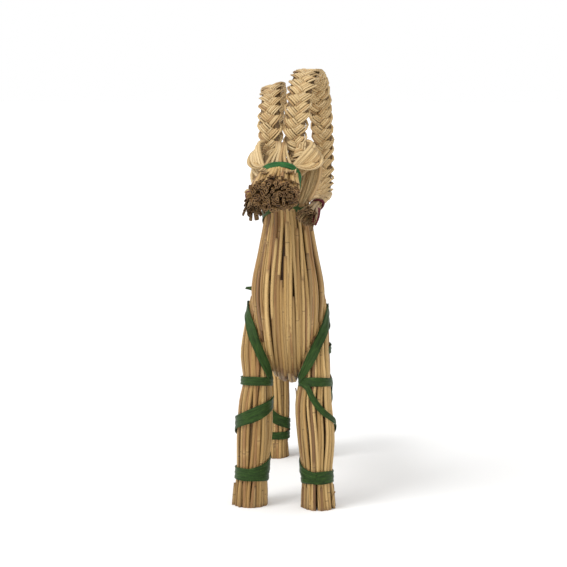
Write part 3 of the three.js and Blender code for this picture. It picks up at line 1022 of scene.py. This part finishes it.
@dataclass
class Horn:
    """A flat plait of three strands that curls back and down to a tied tassel."""

    side: Side
    seed: int
    shape: HornShape
    # Painted shade over the whole horn.
    shade: float = 0.0
    strands: int = 3
    straws_each: int = 5
    pitch: float = 27.5
    weave_depth: float = 1.9
    strand_half: float = 3.6
    lane: float = 1.78
    middle_straws: int = 3
    tassel_straws: int = 30
    head_x: float = -5.0
    snout_y: float = -132.0
    pile: StrawPile = field(init=False)
    spine: Spine = field(init=False)

    def __post_init__(self) -> None:
        """Prepares the spine and the pile."""
        self.name = f"horn_{self.side.name.lower()}"
        self.spine = Spine(self._stations())
        self.pile = StrawPile(self.name + "_plait", self.seed)

    def _stations(self) -> list[tuple[float, ...]]:
        """Tongue on the snout, fanned root, once round an oval, tied tip and tassel.

        Returns:
            The rows of the horn's spine.
        """
        s, h = self.side.value, self.shape
        rows = [
            (s * 8.6 + self.head_x - 1, self.snout_y + 4, 276.5, 8.0, 3.0),
            (s * 7.6 + self.head_x + 1, -103.0, 281.0, 7.0, 3.0),
            (h.fan_x, -94.0, 283.5, h.fan_half, 3.0),
            (h.fan_x, -85.0, 290.0, h.fan_half - 1.2, 3.6),
        ]
        turns = 8
        for i in range(turns + 1):
            f = i / turns
            angle = math.radians(183 - 268 * f)
            swell = h.swell * float(smoothstep(f, 0.0, 0.25))
            narrow = (swell + h.narrowing) * float(smoothstep(f, 0.35, 0.8))
            x = h.root_x + (h.back_x - h.root_x) * float(smoothstep(f, *h.drift))
            y = h.centre[0] + h.radii[0] * math.cos(angle)
            z = h.centre[1] + h.radii[1] * math.sin(angle)
            turn = h.root_turn + (s * 26 - h.root_turn) * float(smoothstep(f, 0.4, 1.0))
            rows.append((s * x, y, z, h.half_width + swell - narrow, 4.0, turn))
        x, y, z = h.tip
        rows.append((x + s * 1.5, y + 20, z + 1, 7.5, 4.0, s * 32.0))
        rows.append((x, y, z, 5.2, 4.4, s * 30.0))
        rows.append((*h.end, 9.0, 8.0, s * 20.0))
        return rows

    def row_length(self, row: float) -> float:
        """Length along the horn at one of its stations, counted from 0."""
        stations = 15
        return float(np.interp(row / (stations - 1), self.spine.t, self.spine.arc))

    def strand_path(self, k: int, s: Array) -> tuple[Array, Array, Array]:
        """Middle line of one strand.

        Args:
            k: The strand's number.
            s: Lengths along the horn.

        Returns:
            Its points, the way that the plait's back faces, and its size at each.
        """
        low, high = self.row_length(2.8), self.row_length(12.7)
        row = self.spine.at(self.spine.t_at_length(s))
        scale = row[:, 3] / 10.0
        drift = 0.22 * np.sin(s * 0.045 + 2.1 * k + self.seed)
        phase = 2 * math.pi * (s / self.pitch + k / self.strands) + drift
        zigzag = np.arcsin(0.93 * np.sin(phase)) / math.asin(0.93)
        over = -np.clip(1.5 * np.sin(2 * phase), -1.0, 1.0)
        woven = smoothstep(s, low - 4.0, low + 5.0) * (1 - smoothstep(s, high - 6.0, high))
        sway = (k - 1) * 0.9 * (1 - woven) + zigzag * woven
        wide = sway * np.maximum(row[:, 3] - self.strand_half * scale, 0.4)
        deep = over * self.weave_depth * scale * woven
        points = row[:, :3] + row[:, 9:12] * wide[:, None] + row[:, 12:15] * deep[:, None]
        return points, row[:, 12:15], scale

    def look(self, shade: float = 0.0, ends: float = 2.5) -> StrawLook:
        """A straw's random look."""
        draw = self.pile.random
        hue = min(1.0, max(0.0, draw.gauss(0.36, 0.26)))
        # self.shade adds the horn's painted shade.
        return StrawLook(hue, min(1.0, self.shade + shade + abs(draw.gauss(0, 0.07))), ends)

    def lay_strands(self) -> None:
        """Plaits the strands, each of a few flat straws side by side."""
        draw = self.pile.random
        high = self.row_length(12.7)
        half = (self.straws_each - 1) / 2
        for k in range(self.strands):
            for j in range(self.straws_each):
                s = np.linspace(draw.uniform(4.0, 9.0), high + draw.uniform(4.0, 9.0), 231)
                middle, face, scale = self.strand_path(k, s)
                forward = unit(np.gradient(middle, axis=0))
                across = unit(np.cross(face, forward))
                up = np.cross(forward, across)
                ripple = 0.3 * np.sin(s * 0.13 + draw.uniform(0, 6.28))
                lane = ((j - half) * self.lane + ripple) * scale
                axis = self.spine.at(self.spine.t_at_length(s))[:, :3]
                above = np.sign(np.sum((middle - axis) * up, axis=1))
                rise = 0.9 * above * (1 - (abs(j - half) / (half + 0.6)) ** 2)
                path = middle + across * lane[:, None] + up * (rise + draw.uniform(-0.2, 0.2))[:, None]
                lean = 0.16 * (j - half) + draw.uniform(-0.12, 0.12)
                off = unit(up * math.cos(lean) + across * math.sin(lean))
                width = draw.uniform(1.0, 1.25) * scale**1.5
                self.pile.lay(path, off, width, draw.uniform(0.5, 0.65), self.look(), 6)

    def lay_core(self) -> None:
        """Inner straws, darkened with painted shade, that close the gaps between the strands."""
        s = np.linspace(self.row_length(1.5), self.row_length(12.8), 90)
        row = self.spine.at(self.spine.t_at_length(s))
        for share in (-0.55, 0.0, 0.55):
            middle = row[:, :3] + row[:, 9:12] * (row[:, 3:4] * share)
            # Their look of 0.6 is painted shade for the gaps between the strands.
            self.pile.lay(middle, row[:, 12:15], row[:, 3] * 0.3, 0.5, self.look(0.6), 6)

    def lay_fan(self, count: int) -> None:
        """Wide straws that run slantwise over the root and fold over its outer edge.

        Args:
            count: How many there are.
        """
        draw = self.pile.random
        s, h = self.side.value, self.shape
        corner = h.fan_x + s * (h.fan_half - 1.5)
        for i in range(count):
            f = (i + 0.5) / count
            foot = (self.head_x + s * (9 + 6 * f), -107.0, 279.5 - 7 * f)
            waist = (self.head_x + s * (13 + 8 * f), -97.0, 285.0 - 8 * f)
            edge = (corner - s * 7 * (1 - f), -90.0, 299.0 - 11 * f + draw.uniform(-1, 1))
            fold = (corner - s * (11 - 3 * f), -84.0, 302.0 - 8 * f)
            path = flowing(np.array([foot, waist, edge, fold]), np.linspace(0, 1, 15))
            off = np.tile(np.array([0.35 * s, -1.0, 0.45]), (15, 1))
            self.pile.lay(path, off, draw.uniform(1.6, 2.2), 0.7, self.look(0.0), 6)

    def lay_middle(self, count: int) -> None:
        """Straws that rise from under the ribbon to the plait's inner edge.

        Args:
            count: How many there are.
        """
        draw = self.pile.random
        s, h = self.side.value, self.shape
        inner = s * h.root_x - s * h.half_width
        for i in range(count):
            f = i / (count - 1)
            foot = (self.head_x + s * (1.5 + 9 * f), -106.0, 282.5 - 0.6 * f)
            waist = (self.head_x + s * (1.0 + 6 * f), -97.0, 288.5)
            edge = (inner + s * (0.4 + 3 * f), -88.0, 294.5)
            fold = (inner + s * (1.2 + 2 * f), -83.0, 300.0 + draw.uniform(-2, 2))
            path = flowing(np.array([foot, waist, edge, fold]), np.linspace(0, 1, 15))
            off = np.tile(np.array([-0.2 * s, -1.0, 0.5]), (15, 1))
            self.pile.lay(path, off, draw.uniform(1.2, 1.8), 0.7, self.look(0.05), 6)

    def lay_cheek(self, count: int) -> None:
        """Straws that fill the side of the head under the root, down to the tassel.

        Args:
            count: How many there are.
        """
        draw = self.pile.random
        s, fan_x = self.side.value, self.shape.fan_x
        for i in range(count):
            f = self.shape.cheek_reach * (i + 0.5) / count
            top = (fan_x + s * (4 + 10 * f), -82.0 - 3 * f, 288.0 - 2 * f)
            bend = (self.head_x + s * (19 + 13 * f), -88.0, 275.0 - 3 * f)
            low = (self.head_x + s * (16 + 13 * f + draw.uniform(-1.5, 1.5)), -95.0, 262.0)
            foot_x = self.head_x + s * (12 + 11 * f + draw.uniform(-2, 2))
            foot = (foot_x, -101.0, 251.0 + draw.uniform(-2, 3))
            path = flowing(np.array([top, bend, low, foot]), np.linspace(0, 1, 13))
            off = np.tile(np.array([0.5 * s, -0.85, 0.1]), (13, 1))
            self.pile.lay(path, off, draw.uniform(1.3, 1.9), 0.8, self.look(0.0), 6)

    def lay_tassel(self, count: int) -> None:
        """Splays the loose straw ends beyond the tie.

        Args:
            count: How many straws it has.
        """
        draw = self.pile.random
        tip, end = np.array(self.shape.tip), np.array(self.shape.end)
        forward = unit((end - tip)[None])[0]
        side = unit(np.cross(forward, np.array([0.0, 0.0, 1.0]))[None])[0]
        up = np.cross(side, forward)
        back = tip - forward * 9.0
        reach = np.linalg.norm(end - tip)
        for i in range(count):
            share = math.sqrt((i + 0.5) / count)
            angle = 2.399 * i + draw.uniform(-0.3, 0.3)
            ray = side * math.cos(angle) + up * math.sin(angle)
            out = forward * reach * draw.uniform(0.7, 1.12)
            droop = np.array([0.0, 0.0, -1.0]) * draw.uniform(0.0, 3.5) * share
            points = np.array(
                [
                    back + ray * share * 4.2,
                    tip + ray * share * 3.6,
                    tip + out * 0.5 + ray * share * 5.6,
                    tip + out + ray * share * draw.uniform(7.5, 10.5) + droop,
                ]
            )
            path = flowing(points, np.linspace(0, 1, 9))
            look = self.look(0.22 + 0.25 * draw.random(), 4.0)
            width = draw.uniform(1.4, 2.2)
            self.pile.lay(path, np.tile(ray, (9, 1)), width, width * draw.uniform(0.35, 0.6), look, 6)

    def build(self) -> bpy.types.Object:
        """Lays every straw and returns the finished horn."""
        self.lay_core()
        self.lay_strands()
        self.lay_fan(self.shape.fan_straws)
        self.lay_middle(self.middle_straws)
        self.lay_cheek(self.shape.cheek_straws)
        self.lay_tassel(self.tassel_straws)
        return self.pile.mesh_object(PLAIT, "plait", [self.name])


# ---------------------------------------------------------------- ribbons


@dataclass
class Strip:
    """One stretch of ribbon.

    Attributes:
        places: Its middle line in millimetres.
        off: The way off the straws at each place.
        widths: Its width at each place.
    """

    places: Array
    off: Array
    widths: Array


@dataclass
class RibbonWork:
    """Strips of ribbon that make one piece."""

    name: str
    finish: SatinFinish
    slot: str
    nodes: list[str]
    seed: int
    thickness: float = 0.35
    across: int = 8
    strips: list[Strip] = field(default_factory=list)

    def wind(
        self,
        spine: Spine,
        rows: list[tuple[float, float, float]],
        lift: float = 0.5,
        per_turn: int = 72,
    ) -> None:
        """Winds ribbon round a bundle.

        Args:
            spine: The bundle's spine.
            rows: Stations of angle in degrees, place along the spine, and width.
            lift: How far it stands off the straws.
            per_turn: Steps in a full turn.
        """
        table = np.array(rows, float)
        turn = abs(np.diff(table[:, 0])).sum()
        t = np.linspace(0, 1, max(12, int(per_turn * turn / 360)))
        row = flowing(table, t)
        places = spine.skin(row[:, 1], row[:, 0], lift)
        off = unit(spine.skin(row[:, 1], row[:, 0], lift + 1) - places)
        self.strips.append(Strip(places, off, row[:, 2]))

    def ring(self, spine: Spine, t: float, width: float, tip: float = 0.0, lift: float = 0.5) -> None:
        """Winds one closed turn, with a short overlap.

        Args:
            spine: The bundle's spine.
            t: Its place along the spine.
            width: Its width.
            tip: How much further along the outer side lies, in places.
            lift: How far it stands off the straws.
        """
        rows = []
        for degrees in range(-100, 301, 20):
            shift = tip * math.sin(math.radians(degrees))
            rows.append((float(degrees), t + shift, width))
        self.wind(spine, rows, lift)

    def band(
        self,
        spine: Spine,
        centre: tuple[float, float, float],
        axis: tuple[float, float, float],
        width: float,
        near: tuple[float, float],
        lift: float = 0.5,
    ) -> None:
        """Winds one closed turn in a plane.

        Args:
            spine: The bundle's spine.
            centre: A point of the plane.
            axis: The plane's normal.
            width: The ribbon's width.
            near: The stretch of the spine where it lies.
            lift: How far it stands off the straws.
        """
        middle, normal = np.array(centre, float), unit(np.array([axis], float))[0]
        rows = []
        for degrees in range(-100, 281, 10):
            rows.append((float(degrees), spine.t_on_plane(float(degrees), middle, normal, near), width))
        self.wind(spine, rows, lift)

    def through(
        self,
        points: list[tuple[float, ...]],
        off: tuple[float, float, float],
        steps: int = 24,
    ) -> None:
        """Lays ribbon through points.

        Args:
            points: Rows of x, y, z and width.
            off: The way that its face looks.
            steps: How many steps it has.
        """
        row = flowing(np.array(points, float), np.linspace(0, 1, steps))
        facing = np.tile(np.array(off, float), (steps, 1))
        self.strips.append(Strip(row[:, :3], unit(facing), row[:, 3]))

    def build(self) -> bpy.types.Object:
        """Makes the strips into one dressed piece."""
        draw = random.Random(self.seed)
        bm = bmesh.new()
        cloth = bm.loops.layers.uv.new("ribbon")
        for strip in self.strips:
            self._sew(bm, cloth, strip, draw)
        for face in bm.faces:
            face.smooth = True
        bmesh.ops.recalc_face_normals(bm, faces=bm.faces)
        mesh = bpy.data.meshes.new(self.name)
        bm.to_mesh(mesh)
        bm.free()
        return settle(self.name, mesh, self.finish.material(), self.nodes)

    def _sew(
        self,
        bm: bmesh.types.BMesh,
        cloth: bmesh.types.BMLayerItem,
        strip: Strip,
        draw: random.Random,
    ) -> None:
        """Adds one strip, creased along its length, with its thickness.

        Args:
            bm: The mesh that it joins.
            cloth: The UV layer, in millimetres along and across; not used.
            strip: Its path.
            draw: Random numbers for its creases.
        """
        steps = len(strip.places) - 1
        part = bmesh.new()
        layer = part.loops.layers.uv.new("ribbon")
        bmesh.ops.create_grid(part, x_segments=steps, y_segments=self.across, size=0.5)
        forward = unit(np.gradient(strip.places, axis=0))
        side = unit(np.cross(strip.off, forward))
        arc = np.linalg.norm(np.diff(strip.places, axis=0), axis=1)
        arc = np.concatenate([[0.0], np.cumsum(arc)])
        phase = [draw.uniform(0, 6.28) for _ in range(4)]
        flat = {}
        for vert in part.verts:
            i = min(steps, max(0, round((vert.co.x + 0.5) * steps)))
            v = vert.co.y * 2
            s = arc[i]
            fold = 0.22 * math.sin(v * 7 + phase[0] + s * 0.05)
            fold += 0.16 * math.sin(v * 12 + phase[1] - s * 0.03)
            edge = 0.35 * v * v * math.sin(s * 0.16 + phase[2]) * 0.6
            width = strip.widths[i] * (1 + 0.05 * math.sin(s * 0.21 + phase[3]))
            place = strip.places[i] + side[i] * (v * width / 2) + strip.off[i] * (fold + edge * 0.5)
            flat[vert] = (s, v * width / 2)
            vert.co = tuple(place * MM)
        for face in part.faces:
            for loop in face.loops:
                loop[layer].uv = flat[loop.vert]
        bmesh.ops.recalc_face_normals(part, faces=part.faces)
        bmesh.ops.solidify(part, geom=part.faces[:], thickness=self.thickness * MM)
        mesh = bpy.data.meshes.new("strip")
        part.to_mesh(mesh)
        part.free()
        bm.from_mesh(mesh)
        bpy.data.meshes.remove(mesh)


# ---------------------------------------------------------------- the goat


@dataclass
class Goat:
    """The whole figure: sizes in millimetres, as the frame has them."""

    head_x: float = -5.0
    snout_y: float = -132.0
    snout_z: float = 260.0
    neck_y: float = -73.0
    trunk_z: float = 134.0
    chest_half: float = 31.0
    front_y: float = -83.0
    hind_y: float = 94.0
    tail_y: float = 132.0
    foot: float = 15.0
    wide: float = 10.0
    narrow: float = 7.0
    parts: dict[str, Bundle] = field(default_factory=dict)
    horns: dict[Side, Horn] = field(default_factory=dict)

    def make_body(self) -> Body:
        """The long bundle.

        Returns:
            The bundle, with nothing laid yet.
        """
        hx, ny, tz = self.head_x, self.neck_y, self.trunk_z
        stations = [
            (hx - 1, self.snout_y, self.snout_z, 20.5, 13.5),
            (hx, -120, 263, 17, 11.5),
            (hx + 1, -107, 266, 14.5, 10.5),
            (-2, -91, 266, 16, 11.5),
            (-1, -77, 254, 18.5, 14),
            (0, ny + 1, 235, 20.5, 18),
            (0, ny, 210, 25, 23),
            (0, ny - 1, 180, self.chest_half - 0.5, 28),
            (0.5, -67, 154, 28.5, 33),
            (1, -49, 134.5, 24.5, 38),
            (0, -25, tz, 25, 32),
            (-1, 5, tz, 27, 28),
            (-2, 45, tz + 1, 26, 27),
            (-3, 82, tz + 2, 23, 25),
            (-3, 108, tz + 5, 13, 13),
            (-3, self.tail_y, tz + 9, 16, 14),
        ]
        # The inner layers, under the skin, get painted shade.
        layers = (
            Layer(20, 2.6, 0.45, (0.03, 0.26), 22),
            Layer(28, 0.0, 0.0, (0.02, 0.29), 24, slack=2.0),
            Layer(40, 3.0, 0.75, (0.22, 1.0), 56, 1.5),
            Layer(56, 0.1, 0.0, (0.235, 1.0), 72, 1.9, slack=3.0),
        )
        cuts = (CutEnd(0.0, 72, 0.05, 1.2), CutEnd(1.0, 44, 0.05, 1.5))
        return Body("body_bundle", stations, 11, layers, cuts, 1.72, 1.5)

    def make_legs(self) -> list[Leg]:
        """The four leg bundles.

        Returns:
            The bundles, with nothing laid yet.
        """
        fy, hy, r = self.front_y, self.hind_y, self.foot
        front_left = [
            (-30.2, fy, -3, r, r),
            (-29.4, fy, 13, 14.2, 14.2),
            (-28.7, fy + 1, 29, 13.4, 13.4),
            (-27.2, fy + 3, 58, 15.2, 15.2),
            (-26.4, fy + 4, 84, 14.6, 15),
            (-25, fy + 6, 103, 12.6, 14),
            (-25.5, fy + 10, 125, 14, 13.5),
            (-25.5, fy + 18, 148, 11, 12),
            (-25, fy + 28, 170, 7.5, 8.5),
        ]
        front_right = [
            (27, fy - 5, -3, r, r),
            (26.2, fy - 5, 13, 14, 14),
            (25.4, fy - 4, 29, 13.2, 13.2),
            (24.6, fy - 2, 58, 16, 16),
            (22.6, fy, 84, 15.6, 15.6),
            (23.4, fy + 3, 103, 13.6, 14),
            (23, fy + 8, 125, 12.4, 13.5),
            (23.6, fy + 17, 148, 10, 12),
            (24.5, fy + 27, 168, 7, 8.5),
        ]
        hind_left = [
            (-23, hy, -3, 14.4, 14.4),
            (-22.8, hy, 11, 12.6, 12.6),
            (-22.8, hy + 1, 20, 12.8, 12.8),
            (-22.8, hy + 1, 48, 14, 14),
            (-23.4, hy + 1, 78, 14, 14),
            (-25, hy, 104, 13, 13.5),
            (-25.5, hy - 3, 130, 10.5, 12.5),
            (-24, hy - 8, 154, 7, 9),
        ]
        hind_right = [
            (14.5, hy + 3, -3, 14.4, 14.4),
            (14.5, hy + 3, 11, 12.6, 12.6),
            (14.6, hy + 3, 20, 12.8, 12.8),
            (15, hy + 2, 48, 14, 14),
            (15.4, hy + 2, 78, 14, 14),
            (15.8, hy, 104, 12.4, 13.5),
            (16.8, hy - 3, 130, 10, 12.5),
            (16.5, hy - 8, 154, 7, 9),
        ]
        loose = ((175.0, 97.0, 2.0), (-30.0, 14.0, 3.0))
        sole = 3.0
        legs = []
        for name, rows, seed, splinters in (
            ("leg_front_left", front_left, 21, ()),
            ("leg_front_right", front_right, 22, loose),
            ("leg_hind_left", hind_left, 23, ()),
            ("leg_hind_right", hind_right, 24, ()),
        ):
            start = sole / Spine(rows).length
            # The inner layer, under the skin, gets painted shade.
            layers = (
                Layer(16, 2.6, 0.75, (start, 1.0), 20),
                Layer(30, 0.0, 0.0, (start, 1.0), 26, 1.3),
            )
            cuts = (CutEnd(start, 26, 0.15),)
            legs.append(Leg(name, rows, seed, layers, cuts, 1.6, 1.35, splinters))
        return legs

    def make_horns(self) -> list[Horn]:
        """The two plaited horns.

        Returns:
            The horns, with nothing laid yet.
        """
        left = HornShape(
            root_x=14.4,
            back_x=25.5,
            drift=(0.45, 1.0),
            centre=(-37, 298),
            radii=(42, 45),
            fan_x=-15.8,
            fan_half=14.2,
            half_width=9.7,
            swell=0.2,
            narrowing=0.6,
            root_turn=-16.0,
            tip=(-26.5, -95, 255),
            end=(-23.5, -117, 249),
            fan_straws=5,
            cheek_straws=6,
            cheek_reach=0.35,
        )
        right = HornShape(
            root_x=5.8,
            back_x=26,
            drift=(-0.1, 0.85),
            centre=(-35, 303),
            radii=(44, 52),
            fan_x=14.3,
            fan_half=14.2,
            half_width=9.4,
            swell=1.9,
            narrowing=0.3,
            root_turn=0.0,
            tip=(24, -95, 249),
            end=(18.5, -117, 243),
            fan_straws=8,
            cheek_straws=13,
            cheek_reach=1.0,
        )
        # The left horn gets a little painted shade.
        return [Horn(Side.LEFT, 31, left, 0.04), Horn(Side.RIGHT, 32, right)]

    def leg_rows(
        self,
        name: str,
        rows: list[tuple[float, float, float]],
    ) -> list[tuple[float, float, float]]:
        """Turns rows that count from a leg's inner side into rows for winding.

        Args:
            name: The leg's name.
            rows: Angle from the inner side over the front, height, and width.

        Returns:
            Angle round the leg, place along it, and width.
        """
        spine = self.parts[name].spine
        left = name.endswith("left")
        return [(-d if left else d - 180.0, spine.t_at_height(z), w) for d, z, w in rows]

    def ribbon(
        self,
        node: str,
        seed: int,
        finish: SatinFinish = GREEN,
        slot: str = "green_ribbon",
    ) -> RibbonWork:
        """Starts a ribbon that stands for a CAD node.

        Args:
            node: The CAD node.
            seed: The seed of its creases.
            finish: Its satin.
            slot: The record's material slot.

        Returns:
            The ribbon, with no strips yet.
        """
        return RibbonWork(node + "_satin", finish, slot, [node], seed)

    def bind_front(self) -> None:
        """Ribbons of the two front legs."""
        n, w = self.narrow, self.wide
        left_shoulder = [(230, 165, n), (195, 164, n), (160, 159, 8), (120, 147, 8)]
        left_shoulder += [(90, 132, 8), (60, 118, 8), (25, 105, n)]
        right_shoulder = [(230, 164, n), (195, 163, n), (160, 157, n), (135, 145, 8)]
        right_shoulder += [(108, 133.5, 8), (80, 121.5, 8), (52, 111.5, 8), (20, 104, n)]
        left_lower = [(0, 88, w), (90, 77, w + 1), (180, 66, w)]
        left_lower += [(270, 50, w), (360, 36, w), (450, 27, w)]
        right_lower = [(30, 103, 5), (66, 98.5, 5), (90, 90, 5), (123, 79, 5), (180, 68, 5)]
        right_lower += [(270, 52, n), (360, 35, n), (450, 27, n)]
        shoulders = {"left": left_shoulder, "right": right_shoulder}
        lowers = {"left": left_lower, "right": right_lower}
        ankles = {"left": 26.5, "right": 26.0}
        for index, side in enumerate(("left", "right")):
            leg = f"leg_front_{side}"
            spine = self.parts[leg].spine
            upper = self.ribbon(f"ribbon_shoulder_{side}", 41 + index)
            upper.wind(spine, self.leg_rows(leg, shoulders[side]), 0.7)
            upper.ring(spine, spine.t_at_height(103.0), n)
            upper.build()
            lower = self.ribbon(f"ribbon_leg_front_{side}", 43 + index)
            lower.wind(spine, self.leg_rows(leg, lowers[side]), 0.8)
            lower.ring(spine, spine.t_at_height(ankles[side]), w)
            lower.build()

    def bind_hind(self) -> None:
        """Ribbons of the two hind legs."""
        n, w = self.narrow, self.wide
        haunch = [(20, 128, n), (60, 142, n), (120, 145, w - 1)]
        haunch += [(180, 132, w - 1), (240, 116, n), (300, 106, n)]
        lower = [(340, 95, w), (270, 82, w), (180, 61, w), (90, 39, w), (0, 30, w - 1), (-90, 22, n)]
        for index, side in enumerate(("left", "right")):
            leg = f"leg_hind_{side}"
            spine = self.parts[leg].spine
            top = self.ribbon(f"ribbon_haunch_{side}", 51 + index)
            top.wind(spine, self.leg_rows(leg, haunch), 0.7)
            top.ring(spine, spine.t_at_height(102.0), n + 0.5)
            top.build()
            wrap = self.ribbon(f"ribbon_leg_hind_{side}", 53 + index)
            wrap.wind(spine, self.leg_rows(leg, lower), 0.8)
            wrap.ring(spine, spine.t_at_height(21.0), n)
            wrap.build()

    def bind_body(self) -> None:
        """Ribbons round head, throat, withers, trunk and tail."""
        n, w = self.narrow, self.wide
        body = self.parts["body_bundle"].spine
        throat = self.ribbon("ribbon_throat", 61)
        throat.band(body, (0, self.neck_y, 239), (0, 0.62, 1), 7.0, (0.25, 0.42), 0.6)
        throat.build()
        girth = self.ribbon("ribbon_girth", 62)
        girth.ring(body, 0.765, w)
        girth.build()
        tail = self.ribbon("ribbon_tail", 63)
        tail.ring(body, 0.933, w)
        tail.build()
        over = self.ribbon("ribbon_withers", 64)
        saddle = [(-14, 0.535, w), (-50, 0.56, w), (-90, 0.575, w), (-130, 0.56, w), (-166, 0.535, w)]
        over.wind(body, saddle, 0.8)
        over.through([(-15, -36, 168, 5), (-27, -33, 173, n), (-38.5, -30, 174, 2.5)], (0, -0.7, 1))
        over.build()

    def bind_head(self) -> None:
        """The ribbon over the snout and the two horn roots."""
        low, high = (np.array(corner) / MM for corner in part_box("ribbon_head"))
        centre, half = (low + high) / 2, (high - low) / 2
        head = self.ribbon("ribbon_head", 65, LEAF)
        angle = np.radians(np.linspace(-100, 280, 96))
        cos, sin = np.cos(angle), np.sin(angle)
        x = centre[0] + (half[0] - 0.3) * np.sign(cos) * np.abs(cos) ** 0.8
        z = centre[2] + (half[2] - 1.0) * np.sign(sin) * np.abs(sin) ** 0.85
        y = centre[1] - (z - centre[2]) * 0.18
        facing = 0.9 * np.maximum(0.0, sin) ** 0.5
        off = np.column_stack([cos / half[0], -facing / half[2], sin / half[2]])
        head.strips.append(Strip(np.column_stack([x, y, z]), unit(off), np.full(96, self.narrow - 1.0)))
        head.build()

    def tie_horns(self) -> None:
        """Red ties round the tips of the horns."""
        for side, horn in self.horns.items():
            name = f"tie_horn_{side.name.lower()}"
            tie = self.ribbon(name, 71 + side.value, RED, "red_ribbon")
            t = 13.0 / 14.0
            for step in (-0.010, -0.002):
                tie.ring(horn.spine, t - 0.008 + step, 3.6, 0.002 * side.value, 0.6)
            if side is Side.RIGHT:
                x, y, z = horn.shape.tip
                tail = [(x + 3, y - 8, z, 5), (x + 2, y - 15, z - 6, 6), (x, y - 18, z - 13, 4)]
                tie.through(tail, (0.5, -0.8, 0.1))
            tie.build()

    def build(self) -> None:
        """Makes every piece of the goat in order."""
        for bundle in (self.make_body(), *self.make_legs()):
            self.parts[bundle.name] = bundle
            bundle.build()
        for horn in self.make_horns():
            self.horns[horn.side] = horn
            horn.build()
        self.bind_front()
        self.bind_hind()
        self.bind_body()
        self.bind_head()
        self.tie_horns()


# ---------------------------------------------------------------- studio


@dataclass
class Studio:
    """A white floor, soft lights and the camera."""

    target: tuple[float, float, float] = (-8.4, 0.0, 174.0)
    distance: float = 1500.0
    azimuth: float = 4.0
    elevation: float = 7.5
    lens: float = 110.2
    sensor: float = 36.0
    floor_size: float = 12.0
    air: float = 1.0
    key_place: tuple[float, float, float] = (-1.0, -0.8, 1.7)
    key_size: float = 0.8
    key_watts: float = 20.0

    def add_floor(self) -> None:
        """A level floor under the feet."""
        bm = bmesh.new()
        bmesh.ops.create_grid(bm, x_segments=1, y_segments=1, size=self.floor_size)
        mesh = bpy.data.meshes.new("studio_floor")
        bm.to_mesh(mesh)
        bm.free()
        mesh.materials.append(FloorFinish().material())
        floor = bpy.data.objects.new("studio_floor", mesh)
        bpy.context.collection.objects.link(floor)

    def add_light(self, name: str, place: tuple[float, float, float], size: float, watts: float) -> None:
        """A square soft light that looks at the goat.

        Args:
            name: Its name.
            place: Where it stands, in metres.
            size: Its width, in metres.
            watts: Its power.
        """
        data = bpy.data.lights.new(name, "AREA")
        data.shape = "SQUARE"
        data.size = size
        data.energy = watts
        light = bpy.data.objects.new(name, data)
        bpy.context.collection.objects.link(light)
        aim = np.array(self.target) * MM - np.array(place)
        light.location = place
        light.rotation_mode = "QUATERNION"
        light.rotation_quaternion = Vector(aim).to_track_quat("-Z", "Y")

    def add_world(self, strength: float) -> None:
        """Even white light from all round.

        Args:
            strength: How bright it is.
        """
        world = bpy.data.worlds.new("studio_air")
        world.use_nodes = True
        world.node_tree.nodes["Background"].inputs[0].default_value = (1.0, 1.0, 1.0, 1.0)
        world.node_tree.nodes["Background"].inputs[1].default_value = strength
        bpy.context.scene.world = world

    def add_camera(self) -> None:
        """The camera, a little to the right of the goat and above it."""
        data = bpy.data.cameras.new("camera")
        data.lens, data.sensor_width = self.lens, self.sensor
        camera = bpy.data.objects.new("camera", data)
        bpy.context.collection.objects.link(camera)
        azimuth, elevation = math.radians(self.azimuth), math.radians(self.elevation)
        level = math.cos(elevation)
        back = np.array([math.sin(azimuth) * level, -math.cos(azimuth) * level, math.sin(elevation)])
        camera.location = (np.array(self.target) + back * self.distance) * MM
        camera.rotation_mode = "QUATERNION"
        camera.rotation_quaternion = Vector(-back).to_track_quat("-Z", "Y")
        bpy.context.scene.camera = camera

    def build(self) -> None:
        """Sets up the studio."""
        self.add_camera()
        self.add_floor()
        self.add_world(self.air)
        self.add_light("key", self.key_place, self.key_size, self.key_watts)
        bpy.context.scene.view_settings.view_transform = "Standard"


def main() -> None:
    """Builds the goat and the studio."""
    logging.basicConfig(level=logging.INFO, format="%(message)s")
    Studio().build()
    Goat().build()


if __name__ == "__main__":
    main()
